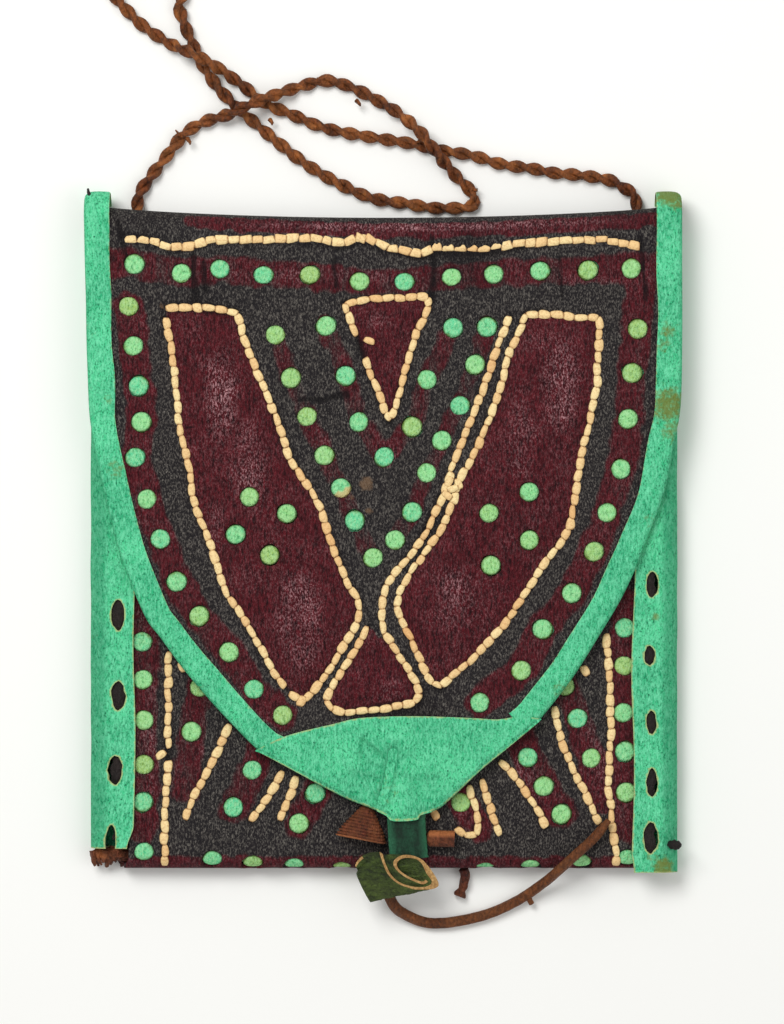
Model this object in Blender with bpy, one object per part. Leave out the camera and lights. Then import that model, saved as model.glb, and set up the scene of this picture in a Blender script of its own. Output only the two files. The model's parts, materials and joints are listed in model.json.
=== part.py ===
"""A leather pouch lying on its back: folded shell, punched flap, bindings, laces and cords."""
import math

import bmesh
import bpy
from mathutils import Vector

# Driving sizes of the pouch, in metres
BODY_WIDTH = 0.1472
POUCH_HEIGHT = 0.1649
LEATHER = 0.0012
LINING = 0.0006
BAND = 0.0008
BINDING = 0.0006
BINDING_WIDTH = 0.0064
BINDING_UNDER = 0.0050
POCKET_DEPTH = 0.0048
MOUTH_LENGTH = 0.0150
DOT_DIAMETER = 0.0052
STITCH_WIDTH = 0.0018
STITCH_WAIST = 0.0011
STITCH_THICKNESS = 0.0007
BAND_FLANGE = 0.0066
BAND_RETURN = 0.0026
BINDING_RISE = 0.0040
LACE_WIDTH = 0.0040
LACE_THICKNESS = 0.0009
STRAP_WIDTH = 0.0088
STRAP_THICKNESS = 0.0026
ROLL_SHEET = 0.0011
ROLL_PITCH = 0.0017
ROLL_RADIUS = 0.0058
ROLL_HEIGHT = 0.0072
TOGGLE_LENGTH = 0.0088
TOGGLE_WIDTH = 0.0120
TOGGLE_FLATNESS = 0.42
TOGGLE_TAIL_DIAMETER = 0.0042
CORD_DIAMETER = 0.0032
THONG_DIAMETER = 0.00275
STUB_DIAMETER = 0.0026
KNOT_DIAMETER = 0.0044
COIL_MIDDLE_RADIUS = 0.0165
COIL_THICKNESS = 0.0066
COIL_HEIGHT = 0.0099

# Clearances
CLEAR = 0.0003
TRIM_CLEAR = 0.0002
FOLD_GAP = 0.0003
HINGE_CLEAR = 0.00025
FLOOR_CLEAR = 0.00005

# The pouch's drawing: points are (across, down) in drawing units
DRAWING_BODY_WIDTH = 588.8
DRAWING_POUCH_HEIGHT = 659.6
DRAWING_MIDDLE = (384.0, 532.0)

DOT_SIDES = 10
FOLD_STEPS = 6

# Heights of the layers, from the ground up
SHELL_HEIGHT = 2 * LEATHER + POCKET_DEPTH + LINING + CLEAR
FRONT_TOP = SHELL_HEIGHT
FRONT_LINING_TOP = FRONT_TOP - LEATHER - CLEAR
BAND_TOP = FRONT_TOP + CLEAR + BAND
FLAP_LINING_BOTTOM = BAND_TOP + CLEAR
FLAP_BOTTOM = FLAP_LINING_BOTTOM + max(LINING, BINDING) + CLEAR
FLAP_TOP = FLAP_BOTTOM + LEATHER
BINDING_TOP = FLAP_TOP + CLEAR + BINDING
TRIM_BOTTOM = FLAP_TOP + TRIM_CLEAR
FRONT_TRIM_BOTTOM = FRONT_TOP + TRIM_CLEAR

# The folds
BOTTOM_RADIUS = SHELL_HEIGHT / 2
HINGE_HEIGHT = FLAP_TOP / 2
TOP_RADIUS = HINGE_HEIGHT - FOLD_GAP / 2
BAND_RADIUS = BAND_TOP / 2

FLAP_EDGE_LEFT = [(84, 193), (86, 300), (88.5, 400), (95, 448), (104.5, 492), (120, 553), (144, 614),
                  (161, 638), (185, 671), (216, 707), (256, 748)]
FLAP_EDGE_RIGHT = [(682, 186), (682, 300), (681, 400), (673, 446), (664, 492), (647, 538), (636, 568),
                   (621, 599), (600, 634), (573, 677), (541, 718)]
TIP_EDGE = [(263, 754), (287, 767), (322, 786), (349, 801), (388, 817), (418, 814), (447, 802),
            (481, 770), (504, 751), (534, 726)]
TIP_TOP = [(280, 738), (302, 731), (332, 724), (358, 718), (394, 716), (426, 716), (455, 717),
           (478, 718), (498, 719), (521, 716)]

FLAP_DOTS = [
    (134.7, 264.7), (181.6, 273), (220, 268), (263.7, 274), (310, 273.5), (359.6, 280.6),
    (404.5, 281), (451.4, 276), (493.7, 273), (540, 270), (587.8, 270), (631, 269),
    (129, 306.5), (133.5, 346), (139, 386), (141.6, 422), (135.4, 457.4), (147, 499),
    (160.4, 539), (176.8, 581.5), (199.4, 616), (229, 652), (254, 689), (282.7, 715),
    (637.5, 329), (632, 373), (627.8, 419), (620.6, 469), (606.8, 512.6), (593.8, 551.6),
    (571.6, 593), (542.5, 629), (521, 670.4), (479.7, 702.4),
    (275.5, 335), (326, 326), (291, 378), (345.7, 376), (307, 416.5), (358.7, 422),
    (453, 328), (487, 327), (475, 364.7), (427, 379.6), (460, 405.5), (441.7, 440.6),
    (412, 426.8), (324.5, 455.4), (384, 457), (426.6, 472.7), (341, 488), (412, 512),
    (354.8, 520.5), (395, 540), (373, 557.7),
    (249.7, 497), (287, 513.6), (236, 534.3), (270, 555),
    (529, 492), (489, 513), (529, 540), (490.7, 565.4)]
FRONT_DOTS = [
    (141.6, 642), (142.5, 680), (143.4, 720.5), (143.4, 765), (142.5, 802.7), (191, 732),
    (199.6, 687.5), (251.8, 770.5), (233, 807.7), (298.8, 824), (315, 793.8), (625, 628),
    (624.6, 666), (623.6, 713), (625.5, 752), (626.5, 793), (577.7, 718.7), (591.5, 758.5),
    (528, 758), (544, 786.6), (561.8, 814.7), (565, 686), (461, 803)]
BOTTOM_DOTS_ACROSS = [143.4, 212, 252.7, 294, 342, 485, 530, 581.5, 628]
BOTTOM_DOTS_DOWN = 862

LEFT_LEAF = [(166, 308), (200, 308), (237, 313), (243, 335), (253.5, 363.7), (263.7, 386), (277, 420),
             (283.7, 441), (291, 461), (299, 472), (313.8, 496.5), (323, 515), (329, 537.8),
             (338, 559), (346, 580.7), (359.7, 602), (357, 621.4), (345.7, 643), (331.4, 666),
             (311, 693), (302, 701), (290, 691), (277, 676.8), (260, 646.4), (248, 625), (239, 611),
             (224, 588.4), (213, 550), (202.5, 525.6), (191.8, 495), (190.6, 476.6), (180, 427.6),
             (178, 410), (175, 374), (170.8, 343), (165.5, 319)]
RIGHT_LEAF = [(526, 315), (547, 314), (580, 318), (599, 318), (597, 357.5), (597, 384), (590, 420),
              (584, 443), (579.5, 466), (575, 492), (572, 516.4), (567, 533), (553.5, 551.6),
              (539.7, 570), (527.5, 590), (513.7, 611), (501.4, 628), (492.5, 638), (471.5, 659),
              (456, 672), (440, 688), (429.6, 678.6), (420.7, 662.5), (411.8, 641), (401, 621),
              (396.5, 605), (405.7, 579), (416, 565), (427, 550), (437.8, 534.8), (447, 516.4),
              (455, 496), (460, 479), (473, 456.7), (480, 439.8), (488, 421.4), (495.5, 404.6),
              (501.5, 384), (509, 353.5), (516, 339), (522, 325)]
KEYSTONE = [(368, 626.8), (360, 643), (349, 660.7), (336.8, 680), (326, 701), (338.6, 713),
            (360, 711), (385, 708), (406, 705), (418, 702), (420, 691), (415, 680), (403, 660.7),
            (392, 644.6), (384, 632), (381.4, 617.9), (383.5, 599), (387, 583.8), (395, 573),
            (404, 564), (418, 545.5), (428.6, 527), (437.8, 507), (444.7, 492), (452, 467.4),
            (460, 447.5), (467, 430.6), (474.5, 413), (482.5, 390), (490.5, 367.8), (501, 337),
            (510, 317)]
TRIANGLE = [(345, 304), (365.7, 300.4), (396, 298), (428, 297), (429, 306), (418.8, 327),
            (411.6, 349.4), (404.5, 374), (397, 403), (390, 422), (383, 404), (374, 382),
            (365.7, 361.6), (357.6, 337), (348, 315)]
TOP_LINE = [(124, 239), (147, 240), (170, 247), (194, 246), (210.6, 240), (243, 240), (284, 239),
            (323, 239), (341, 244), (361.6, 237), (382, 246), (400, 250), (419, 254.5), (435, 247),
            (466, 248), (494, 247), (527, 243), (564, 241), (604.5, 240), (639, 247)]
FLAP_LINES = {"stitch_top": TOP_LINE, "stitch_left_leaf": LEFT_LEAF, "stitch_right_leaf": RIGHT_LEAF,
              "stitch_keystone": KEYSTONE, "stitch_triangle": TRIANGLE}
FRONT_LINES = {
    "front_stitch_left_edge": [(169, 652), (167.5, 671), (168, 693), (168, 718), (168, 742),
                               (168, 766), (165.7, 793), (165, 814), (164, 832), (165.7, 850)],
    "front_stitch_left_leaf": [(230, 725), (221, 743), (214, 759), (205, 775), (194, 796),
                               (183.6, 819.6)],
    "front_stitch_left_inner": [(281.8, 771.4), (271, 793), (260, 809), (249.6, 821)],
    "front_stitch_left_short": [(297, 777), (289, 798), (280, 821)],
    "front_stitch_right_leaf": [(553.8, 707), (559.5, 734), (570, 761), (582.5, 787.6),
                                (592, 806.7), (599.7, 824)],
    "front_stitch_right_edge": [(607, 634), (608, 653.6), (610, 680), (611, 707), (611, 734),
                                (610, 761), (609, 783.7), (611, 810.5), (613, 830), (616, 850)],
    "front_stitch_right_inner": [(500, 761), (511.7, 772), (523, 787.6), (536.6, 808.6),
                                 (546, 827.8)],
    "front_stitch_right_short": [(481, 780), (486.8, 795), (492.5, 816), (501, 835.4)],
    "front_stitch_hook": [(469, 786), (474, 803), (479, 822), (477, 836), (466, 837),
                          (457, 827.7)]}

# Slits of the side bands: distance in from the side's round, distance down, width, length
LEFT_SLITS = [(0.0025, 615, 0.0035, 0.0078), (0.0025, 696, 0.0035, 0.0075),
              (0.0023, 770.5, 0.0036, 0.0075), (0.0022, 830, 0.0030, 0.0070)]
RIGHT_SLITS = [(0.0020, 584.5, 0.0032, 0.0065), (0.0024, 655.5, 0.0025, 0.0050),
               (0.0020, 722.5, 0.0025, 0.0060), (0.0020, 783, 0.0028, 0.0072),
               (0.0022, 838, 0.0035, 0.0080)]
LACE_TOP = 560
BAND_ENDS = {-1: 849, 1: 873}
BAND_START = 230
TUFT = [(92, 852), (126, 852), (124, 862), (114, 860), (106, 868), (94, 864)]

# Routes of the cords: (across, down, height of the middle in metres)
CORD_EXITS = {-1: -0.0622, 1: 0.0636}
CORD_EXIT_HEIGHT = 0.0026
LOW = CORD_DIAMETER / 2 + FLOOR_CLEAR
HIGH = LOW + CORD_DIAMETER + 0.0010
LEFT_ROUTE = [
    (138, 192, 0.0019), (147, 177.6, LOW), (165.7, 153, LOW), (184, 130.6, LOW), (206.5, 118, LOW),
    (229, 112, 0.0037), (243, 106, HIGH), (262, 98.5, HIGH), (276, 93, 0.0037), (300, 83.7, LOW),
    (325, 78, LOW), (349, 83.7, LOW), (376, 97, LOW), (400, 112, 0.0030), (421, 131, 0.0050),
    (430, 143, HIGH), (441, 157, 0.0047), (455, 173, 0.0022), (470, 188, LOW), (475, 199, LOW),
    (468, 205.5, LOW), (452, 206, LOW), (431, 205.5, LOW), (404.5, 201, LOW), (386, 199, LOW),
    (365.7, 194, LOW), (335, 179.6, LOW), (304.5, 161, LOW), (276, 139, LOW), (253.5, 120, LOW),
    (231, 100, LOW), (212.7, 79.6, LOW), (198, 55, LOW), (188, 32.7, LOW), (180, 12, LOW),
    (178, 0, LOW), (190, -22, LOW), (210, -40, LOW), (220, -51, LOW)]
RIGHT_ROUTE = [
    (636, 193, 0.0019), (625, 185.7, LOW), (610.6, 178, LOW), (584, 173.5, LOW), (555.5, 171, LOW),
    (531, 166, LOW), (502.4, 162, LOW), (472, 153, LOW), (441, 148, LOW), (410.6, 141, LOW),
    (365.7, 133.7, LOW), (325, 125.5, LOW), (294, 113, LOW), (263.7, 100, LOW), (243, 83.7, LOW),
    (231, 75, 0.0024), (219, 67, 0.0041), (206, 60, HIGH), (194, 53, HIGH), (180, 46, 0.0036),
    (165.7, 38.8, LOW), (141, 22.4, LOW), (118.8, 0, LOW), (103, -20, LOW), (93, -38, LOW),
    (89.5, -49, LOW)]
THONG_LOW = THONG_DIAMETER / 2 + FLOOR_CLEAR
THONG_ROUTE = [
    (389, 897, 0.0062), (394, 907, 0.0050), (402, 914.5, 0.0030), (421.5, 924, THONG_LOW),
    (441, 926, THONG_LOW), (469, 922, THONG_LOW), (495, 914.5, THONG_LOW), (521, 901.5, 0.0019),
    (546, 883, 0.0046), (560, 869.5, 0.0085), (572, 858, 0.0103), (593, 838.6, 0.0107),
    (609, 820, 0.0106)]
STUB_LOW = STUB_DIAMETER / 2 + FLOOR_CLEAR
STUB_ROUTE = [(464, 873, 0.0028), (465, 880, 0.0018), (464, 889, STUB_LOW), (461, 898, STUB_LOW)]
COIL_CENTRE = (150, -112)

ROLL_BOTTOM = (384, 881)
ROLL_TOP = (405, 871)
ROLL_TURN_DEGREES = -25
ROLL_STRETCH = 1.35
ROLL_TURNS = 1.6
STRAP_TOP_END = (405, 821)
STRAP_BOTTOM_END = (403, 850)
TOGGLE_BASE = (360, 839)
TOGGLE_APEX = (367, 804)
TAIL_FROM = (394, 838)
TAIL_TO = (455, 838)

BLACK = (0.012, 0.010, 0.012)
MAROON = (0.062, 0.010, 0.016)
GREEN = (0.080, 0.640, 0.330)
OLIVE = (0.045, 0.085, 0.025)
TAN = (0.700, 0.480, 0.220)
BROWN = (0.160, 0.045, 0.014)


def unit_across():
    return BODY_WIDTH / DRAWING_BODY_WIDTH


def unit_down():
    return POUCH_HEIGHT / DRAWING_POUCH_HEIGHT


def spot(across, down):
    """A point of the drawing, in metres from the middle of the back."""
    return ((across - DRAWING_MIDDLE[0]) * unit_across(), (DRAWING_MIDDLE[1] - down) * unit_down())


def spots(points):
    return [spot(across, down) for across, down in points]


# The drawing's lines that the folds and edges follow
BOTTOM_EDGE = spot(0, 869.6)[1]
TOP_FOLD = BOTTOM_EDGE + POUCH_HEIGHT
BOTTOM_START = BOTTOM_EDGE + BOTTOM_RADIUS
TOP_START = TOP_FOLD - TOP_RADIUS
FRONT_HALF_WIDTH = BODY_WIDTH / 2 - BAND_RADIUS - BAND_FLANGE + 0.0015
BACK_HALF_WIDTH = BODY_WIDTH / 2 - BAND_RADIUS - BAND_RETURN - CLEAR
FRONT_UPPER_EDGE = TOP_START - MOUTH_LENGTH + LEATHER
HINGE_LINE = TOP_FOLD + HINGE_CLEAR
FLAP_FOLD_HALF_WIDTH = 0.0670


def remove_everything():
    for thing in list(bpy.data.objects):
        bpy.data.objects.remove(thing, do_unlink=True)


def make_material(name, colour, roughness):
    material = bpy.data.materials.new(name)
    material.use_nodes = True
    shader = material.node_tree.nodes["Principled BSDF"]
    shader.inputs["Base Color"].default_value = (*colour, 1.0)
    shader.inputs["Roughness"].default_value = roughness
    material.diffuse_color = (*colour, 1.0)
    return material


def add_object(name, mesh, materials, parent=None):
    thing = bpy.data.objects.new(name, mesh)
    bpy.context.scene.collection.objects.link(thing)
    for material in materials:
        thing.data.materials.append(material)
    if parent is not None:
        thing.parent = parent
        thing.matrix_parent_inverse = parent.matrix_world.inverted()
    return thing


def mesh_from(name, points, faces):
    """A closed mesh with its faces pointing out."""
    mesh = bpy.data.meshes.new(name)
    shape = bmesh.new()
    corners = [shape.verts.new(point) for point in points]
    for face in faces:
        shape.faces.new([corners[index] for index in face])
    bmesh.ops.recalc_face_normals(shape, faces=shape.faces)
    shape.to_mesh(mesh)
    shape.free()
    return mesh


def fill(outline, holes=()):
    """Points and triangles of a flat outline with holes."""
    shape = bmesh.new()
    for loop in [outline, *holes]:
        ring = [shape.verts.new((x, y, 0.0)) for x, y in loop]
        for index, corner in enumerate(ring):
            shape.edges.new((corner, ring[(index + 1) % len(ring)]))
    bmesh.ops.triangle_fill(shape, use_beauty=True, use_dissolve=False, edges=shape.edges[:])
    shape.verts.index_update()
    points = [(corner.co.x, corner.co.y) for corner in shape.verts]
    faces = [[corner.index for corner in face.verts] for face in shape.faces]
    shape.free()
    return points, faces


def find_point(points, wanted):
    return min(range(len(points)), key=lambda index: math.dist(points[index], wanted))


def add_rows(points, faces, left, right, rows):
    """Quads that carry a flat piece on from its edge left-right, row after row."""
    before = [find_point(points, left), find_point(points, right)]
    for row in rows:
        points.extend(row)
        after = [len(points) - 2, len(points) - 1]
        faces.append([before[0], before[1], after[1], after[0]])
        before = after


def thicken(points, faces, place, thickness):
    """A closed sheet: each point is placed at depth 0 and at its thickness."""
    count = len(points)
    solid = [place(x, along, 0.0) for x, along in points]
    solid += [place(x, along, thickness) for x, along in points]
    sides = {}
    for face in faces:
        for index, corner in enumerate(face):
            following = face[(index + 1) % len(face)]
            key = (min(corner, following), max(corner, following))
            sides.setdefault(key, []).append((corner, following))
    closed = [list(face) for face in faces]
    closed += [[corner + count for corner in reversed(face)] for face in faces]
    for uses in sides.values():
        if len(uses) == 1:
            first, second = uses[0]
            closed.append([second, first, first + count, second + count])
    return solid, closed


def circle(centre, diameter, sides):
    return [(centre[0] + diameter / 2 * math.cos(2 * math.pi * index / sides),
             centre[1] + diameter / 2 * math.sin(2 * math.pi * index / sides))
            for index in range(sides)]


def inset(points, distance):
    """An open line moved to its right-hand side."""
    moved = []
    for index, point in enumerate(points):
        before = Vector(points[max(index - 1, 0)])
        after = Vector(points[min(index + 1, len(points) - 1)])
        along = (after - before).normalized()
        moved.append((point[0] + along.y * distance, point[1] - along.x * distance))
    return moved


def flap_edge(distance):
    """The flap's edge from its top left corner round the tip, moved inwards."""
    edge = spots(FLAP_EDGE_LEFT) + spots(TIP_EDGE) + spots(reversed(FLAP_EDGE_RIGHT))
    return inset(edge, -distance)


def inside(point, outline):
    crossings = 0
    for index, first in enumerate(outline):
        second = outline[(index + 1) % len(outline)]
        if (first[1] > point[1]) != (second[1] > point[1]):
            share = (point[1] - first[1]) / (second[1] - first[1])
            if point[0] < first[0] + share * (second[0] - first[0]):
                crossings += 1
    return crossings % 2 == 1


def shell_place(x, along, depth):
    """The shell unrolled: front panel down, bottom fold, back panel up, top fold."""
    if along >= BOTTOM_START:
        return (x, along, FRONT_TOP - depth)
    run = BOTTOM_START - along
    radius = BOTTOM_RADIUS - depth
    if run <= math.pi * BOTTOM_RADIUS + 1e-9:
        angle = run / BOTTOM_RADIUS
        return (x, BOTTOM_START - radius * math.sin(angle), BOTTOM_RADIUS + radius * math.cos(angle))
    run -= math.pi * BOTTOM_RADIUS
    back_length = TOP_START - BOTTOM_START
    if run <= back_length + 1e-9:
        return (x, BOTTOM_START + run, depth)
    angle = (run - back_length) / TOP_RADIUS
    radius = TOP_RADIUS - depth
    return (x, TOP_START + radius * math.sin(angle), TOP_RADIUS - radius * math.cos(angle))


def make_shell(materials):
    left, right = (-FRONT_HALF_WIDTH, BOTTOM_START), (FRONT_HALF_WIDTH, BOTTOM_START)
    outline = [(-FRONT_HALF_WIDTH, FRONT_UPPER_EDGE), left, right,
               (FRONT_HALF_WIDTH, FRONT_UPPER_EDGE)]
    holes = [circle(dot, DOT_DIAMETER, DOT_SIDES) for dot in spots(FRONT_DOTS)]
    points, faces = fill(outline, holes)
    rows = []
    for step in range(1, FOLD_STEPS + 1):
        along = BOTTOM_START - math.pi * BOTTOM_RADIUS * step / FOLD_STEPS
        rows.append([(-FRONT_HALF_WIDTH, along), (FRONT_HALF_WIDTH, along)])
    back_end = BOTTOM_START - math.pi * BOTTOM_RADIUS - (TOP_START - BOTTOM_START)
    rows.append([(-BACK_HALF_WIDTH, back_end), (BACK_HALF_WIDTH, back_end)])
    for step in range(1, FOLD_STEPS // 2 + 1):
        along = back_end - math.pi / 2 * TOP_RADIUS * step / (FOLD_STEPS // 2)
        rows.append([(-BACK_HALF_WIDTH, along), (BACK_HALF_WIDTH, along)])
    add_rows(points, faces, left, right, rows)
    solid, closed = thicken(points, faces, shell_place, LEATHER)
    shell = add_object("pouch_shell", mesh_from("pouch_shell", solid, closed), materials)
    cut_bottom_dots(shell)
    cut_cord_holes(shell)
    return shell


def make_cutter(name, mesh):
    cutter = add_object(name, mesh, [])
    cutter.hide_render = True
    cutter.display_type = "WIRE"
    return cutter


def subtract(thing, cutter):
    modifier = thing.modifiers.new(cutter.name, "BOOLEAN")
    modifier.operation = "DIFFERENCE"
    modifier.solver = "EXACT"
    modifier.object = cutter


def upright_rods(centres, diameter, low, high, sides):
    points, faces = [], []
    for centre in centres:
        start = len(points)
        ring = circle(centre, diameter, sides)
        points += [(x, y, low) for x, y in ring] + [(x, y, high) for x, y in ring]
        faces.append([start + index for index in reversed(range(sides))])
        faces.append([start + sides + index for index in range(sides)])
        for index in range(sides):
            following = (index + 1) % sides
            faces.append([start + index, start + following,
                          start + sides + following, start + sides + index])
    return points, faces


def cut_bottom_dots(shell):
    centres = [spot(across, BOTTOM_DOTS_DOWN) for across in BOTTOM_DOTS_ACROSS]
    points, faces = upright_rods(centres, DOT_DIAMETER, BOTTOM_RADIUS, FRONT_TOP + LEATHER, DOT_SIDES)
    subtract(shell, make_cutter("bottom_dot_cutter", mesh_from("bottom_dot_cutter", points, faces)))


def cut_cord_holes(shell):
    points, faces = [], []
    sides = 12
    radius = CORD_DIAMETER / 2 + CLEAR
    for across in CORD_EXITS.values():
        start = len(points)
        for along in (TOP_START + 0.0006, TOP_FOLD + LEATHER):
            for index in range(sides):
                angle = 2 * math.pi * index / sides
                points.append((across + radius * math.cos(angle), along,
                               CORD_EXIT_HEIGHT + radius * math.sin(angle)))
        faces.append([start + index for index in range(sides)])
        faces.append([start + sides + index for index in reversed(range(sides))])
        for index in range(sides):
            following = (index + 1) % sides
            faces.append([start + following, start + index,
                          start + sides + index, start + sides + following])
    subtract(shell, make_cutter("cord_hole_cutter", mesh_from("cord_hole_cutter", points, faces)))


def lining_place(x, along, depth):
    radius = BOTTOM_RADIUS - LEATHER - CLEAR
    if along >= BOTTOM_START:
        return (x, along, FRONT_LINING_TOP - depth)
    angle = (BOTTOM_START - along) / radius
    return (x, BOTTOM_START - (radius - depth) * math.sin(angle),
            BOTTOM_RADIUS + (radius - depth) * math.cos(angle))


def make_front_lining(materials):
    half = FRONT_HALF_WIDTH - LEATHER
    top = FRONT_UPPER_EDGE - LEATHER
    left, right = (-half, BOTTOM_START), (half, BOTTOM_START)
    points, faces = [(-half, top), left, right, (half, top)], [[0, 1, 2, 3]]
    turn = math.pi / 2 * (BOTTOM_RADIUS - LEATHER - CLEAR)
    steps = FOLD_STEPS // 2
    rows = [[(-half, BOTTOM_START - turn * step / steps), (half, BOTTOM_START - turn * step / steps)]
            for step in range(1, steps + 1)]
    add_rows(points, faces, left, right, rows)
    solid, closed = thicken(points, faces, lining_place, LINING)
    return add_object("front_lining", mesh_from("front_lining", solid, closed), materials)


def band_place(side):
    """A side band unrolled: top flange (positive), round the side, then its return below."""
    middle = BODY_WIDTH / 2 - BAND_RADIUS

    def place(across, along, depth):
        if across >= 0:
            return (side * (middle - across), along, BAND_TOP - depth)
        radius = BAND_RADIUS - depth
        angle = -across / BAND_RADIUS
        if angle <= math.pi + 1e-9:
            return (side * (middle + radius * math.sin(angle)), along,
                    BAND_RADIUS + radius * math.cos(angle))
        run = -across - math.pi * BAND_RADIUS
        return (side * (middle - run), along, depth)

    return place


def slit(centre, width, length):
    """A lens-shaped hole of eight points."""
    shares = [(0, 1), (0.7, 0.6), (1, 0), (0.7, -0.6), (0, -1), (-0.7, -0.6), (-1, 0), (-0.7, 0.6)]
    return [(centre[0] + across * width / 2, centre[1] + along * length / 2)
            for across, along in shares]


def make_side(side, slits, word, band_materials, lace_materials):
    upper = spot(0, BAND_START)[1]
    lower = spot(0, BAND_ENDS[side])[1]
    holes = []
    for inwards, down, width, length in slits:
        holes.append(slit((inwards, spot(0, down)[1]), width, length))
    corner_low, corner_high = (0.0, lower), (0.0, upper)
    points, faces = fill([(BAND_FLANGE, lower), (BAND_FLANGE, upper), corner_high, corner_low], holes)
    rows = []
    for step in range(1, FOLD_STEPS + 1):
        across = -math.pi * BAND_RADIUS * step / FOLD_STEPS
        rows.append([(across, lower), (across, upper)])
    end = -math.pi * BAND_RADIUS - BAND_RETURN
    rows.append([(end, lower), (end, upper)])
    add_rows(points, faces, corner_low, corner_high, rows)
    solid, closed = thicken(points, faces, band_place(side), BAND)
    name = "side_band_" + word
    add_object(name, mesh_from(name, solid, closed), band_materials)

    inner = FRONT_HALF_WIDTH + CLEAR
    lace_low = lower + LEATHER
    lace_high = spot(0, LACE_TOP)[1]
    lace_top = BAND_TOP - BAND - CLEAR
    corners = [(inner, lace_low), (inner + LACE_WIDTH, lace_low), (inner + LACE_WIDTH, lace_high),
               (inner, lace_high)]
    points, faces = prism([(side * x, y) for x, y in corners], lace_top - LACE_THICKNESS, lace_top)
    name = "side_lace_" + word
    add_object(name, mesh_from(name, points, faces), lace_materials)


def prism(outline, low, high):
    points, faces = fill(outline)
    return thicken(points, faces, lambda x, y, depth: (x, y, high - depth), high - low)


def make_tuft(materials):
    points, faces = prism(spots(TUFT), 0.0004, FRONT_TOP - LEATHER)
    add_object("corner_tuft", mesh_from("corner_tuft", points, faces), materials)


def flap_place(x, along, depth):
    if along <= TOP_START:
        return (x, along, FLAP_TOP - depth)
    angle = (along - TOP_START) / TOP_RADIUS
    radius = TOP_RADIUS - depth
    return (x, TOP_START + radius * math.sin(angle),
            HINGE_HEIGHT + FOLD_GAP / 2 + radius * math.cos(angle))


def make_flap(materials, parent):
    edge = flap_edge(BINDING + 2.3 * BINDING)
    edge = [point for point in edge if point[1] < TOP_START - LEATHER]
    left, right = (-FLAP_FOLD_HALF_WIDTH, TOP_START), (FLAP_FOLD_HALF_WIDTH, TOP_START)
    shoulder = TOP_START - LEATHER
    start, finish = edge[0][0], edge[-1][0]
    outline = [left, (start, shoulder), *edge, (finish, shoulder), right]
    holes = [circle(dot, DOT_DIAMETER, DOT_SIDES) for dot in spots(FLAP_DOTS)]
    points, faces = fill(outline, holes)
    steps = FOLD_STEPS // 2
    rows = []
    for step in range(1, steps + 1):
        along = TOP_START + math.pi / 2 * TOP_RADIUS * step / steps
        rows.append([(-FLAP_FOLD_HALF_WIDTH, along), (FLAP_FOLD_HALF_WIDTH, along)])
    add_rows(points, faces, left, right, rows)
    solid, closed = thicken(points, faces, flap_place, LEATHER)
    flap = add_object("flap", mesh_from("flap", solid, closed), materials, parent)
    fields = [spots(LEFT_LEAF), spots(RIGHT_LEAF), spots(TRIANGLE)]
    for face in flap.data.polygons:
        centre = (face.center.x, face.center.y)
        in_field = any(inside(centre, field) for field in fields)
        face.material_index = 0 if in_field else 1
    return flap


def make_flap_lining(materials, parent):
    edge = flap_edge(BINDING_UNDER + 2 * CLEAR)
    edge = [point for point in edge if point[1] < TOP_START - 2 * LEATHER]
    top = TOP_START - LEATHER
    outline = [(edge[0][0], top), *edge, (edge[-1][0], top)]
    points, faces = prism(outline, FLAP_LINING_BOTTOM, FLAP_LINING_BOTTOM + LINING)
    add_object("flap_lining", mesh_from("flap_lining", points, faces), materials, parent)


def strip_section(width, under):
    """A strip folded round an edge: (distance inwards, height) round its section."""
    low, high = FLAP_LINING_BOTTOM, BINDING_TOP
    middle = (low + high) / 2
    wall = BINDING
    return [(width, high), (2.4 * wall, high), (0.7 * wall, high - 0.8 * wall), (0.0, middle),
            (0.7 * wall, low + 0.8 * wall), (2.4 * wall, low), (under, low), (under, low + wall),
            (2.6 * wall, low + wall), (1.4 * wall, middle), (2.6 * wall, high - wall),
            (width, high - wall)]


def bridge_rings(rings):
    points = [point for ring in rings for point in ring]
    count = len(rings[0])
    faces = [[index for index in reversed(range(count))],
             [len(points) - count + index for index in range(count)]]
    for ring in range(len(rings) - 1):
        for index in range(count):
            following = (index + 1) % count
            faces.append([ring * count + index, ring * count + following,
                          (ring + 1) * count + following, (ring + 1) * count + index])
    return points, faces


def triangulated(mesh):
    shape = bmesh.new()
    shape.from_mesh(mesh)
    bmesh.ops.triangulate(shape, faces=shape.faces)
    bmesh.ops.recalc_face_normals(shape, faces=shape.faces)
    shape.to_mesh(mesh)
    shape.free()
    return mesh


def make_binding(name, outer, materials, parent, side):
    """A green strip folded round one edge of the flap, and over the top fold."""
    section = strip_section(BINDING_WIDTH, BINDING_UNDER)
    centre = TOP_START + BINDING_RISE
    steps = 4
    rings = []
    x_top = outer[0][0]
    for step in range(steps, 0, -1):
        angle = math.pi / 2 * step / steps
        ring = []
        for inwards, height in section:
            radius = height - HINGE_HEIGHT - FOLD_GAP / 2
            ring.append((x_top - side * inwards, centre + radius * math.sin(angle),
                         HINGE_HEIGHT + FOLD_GAP / 2 + radius * math.cos(angle)))
        rings.append(ring)
    path = [(x_top, centre)] + outer[1:]
    for index, point in enumerate(path):
        before = Vector(path[max(index - 1, 0)])
        after = Vector(path[min(index + 1, len(path) - 1)])
        along = (after - before).normalized()
        inward = Vector((-along.y, along.x)) if side < 0 else Vector((along.y, -along.x))
        if index == 0:
            inward = Vector((-side, 0.0))
        rings.append([(point[0] + inward.x * inwards, point[1] + inward.y * inwards, height)
                      for inwards, height in section])
    points, faces = bridge_rings(rings)
    add_object(name, triangulated(mesh_from(name, points, faces)), materials, parent)


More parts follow.
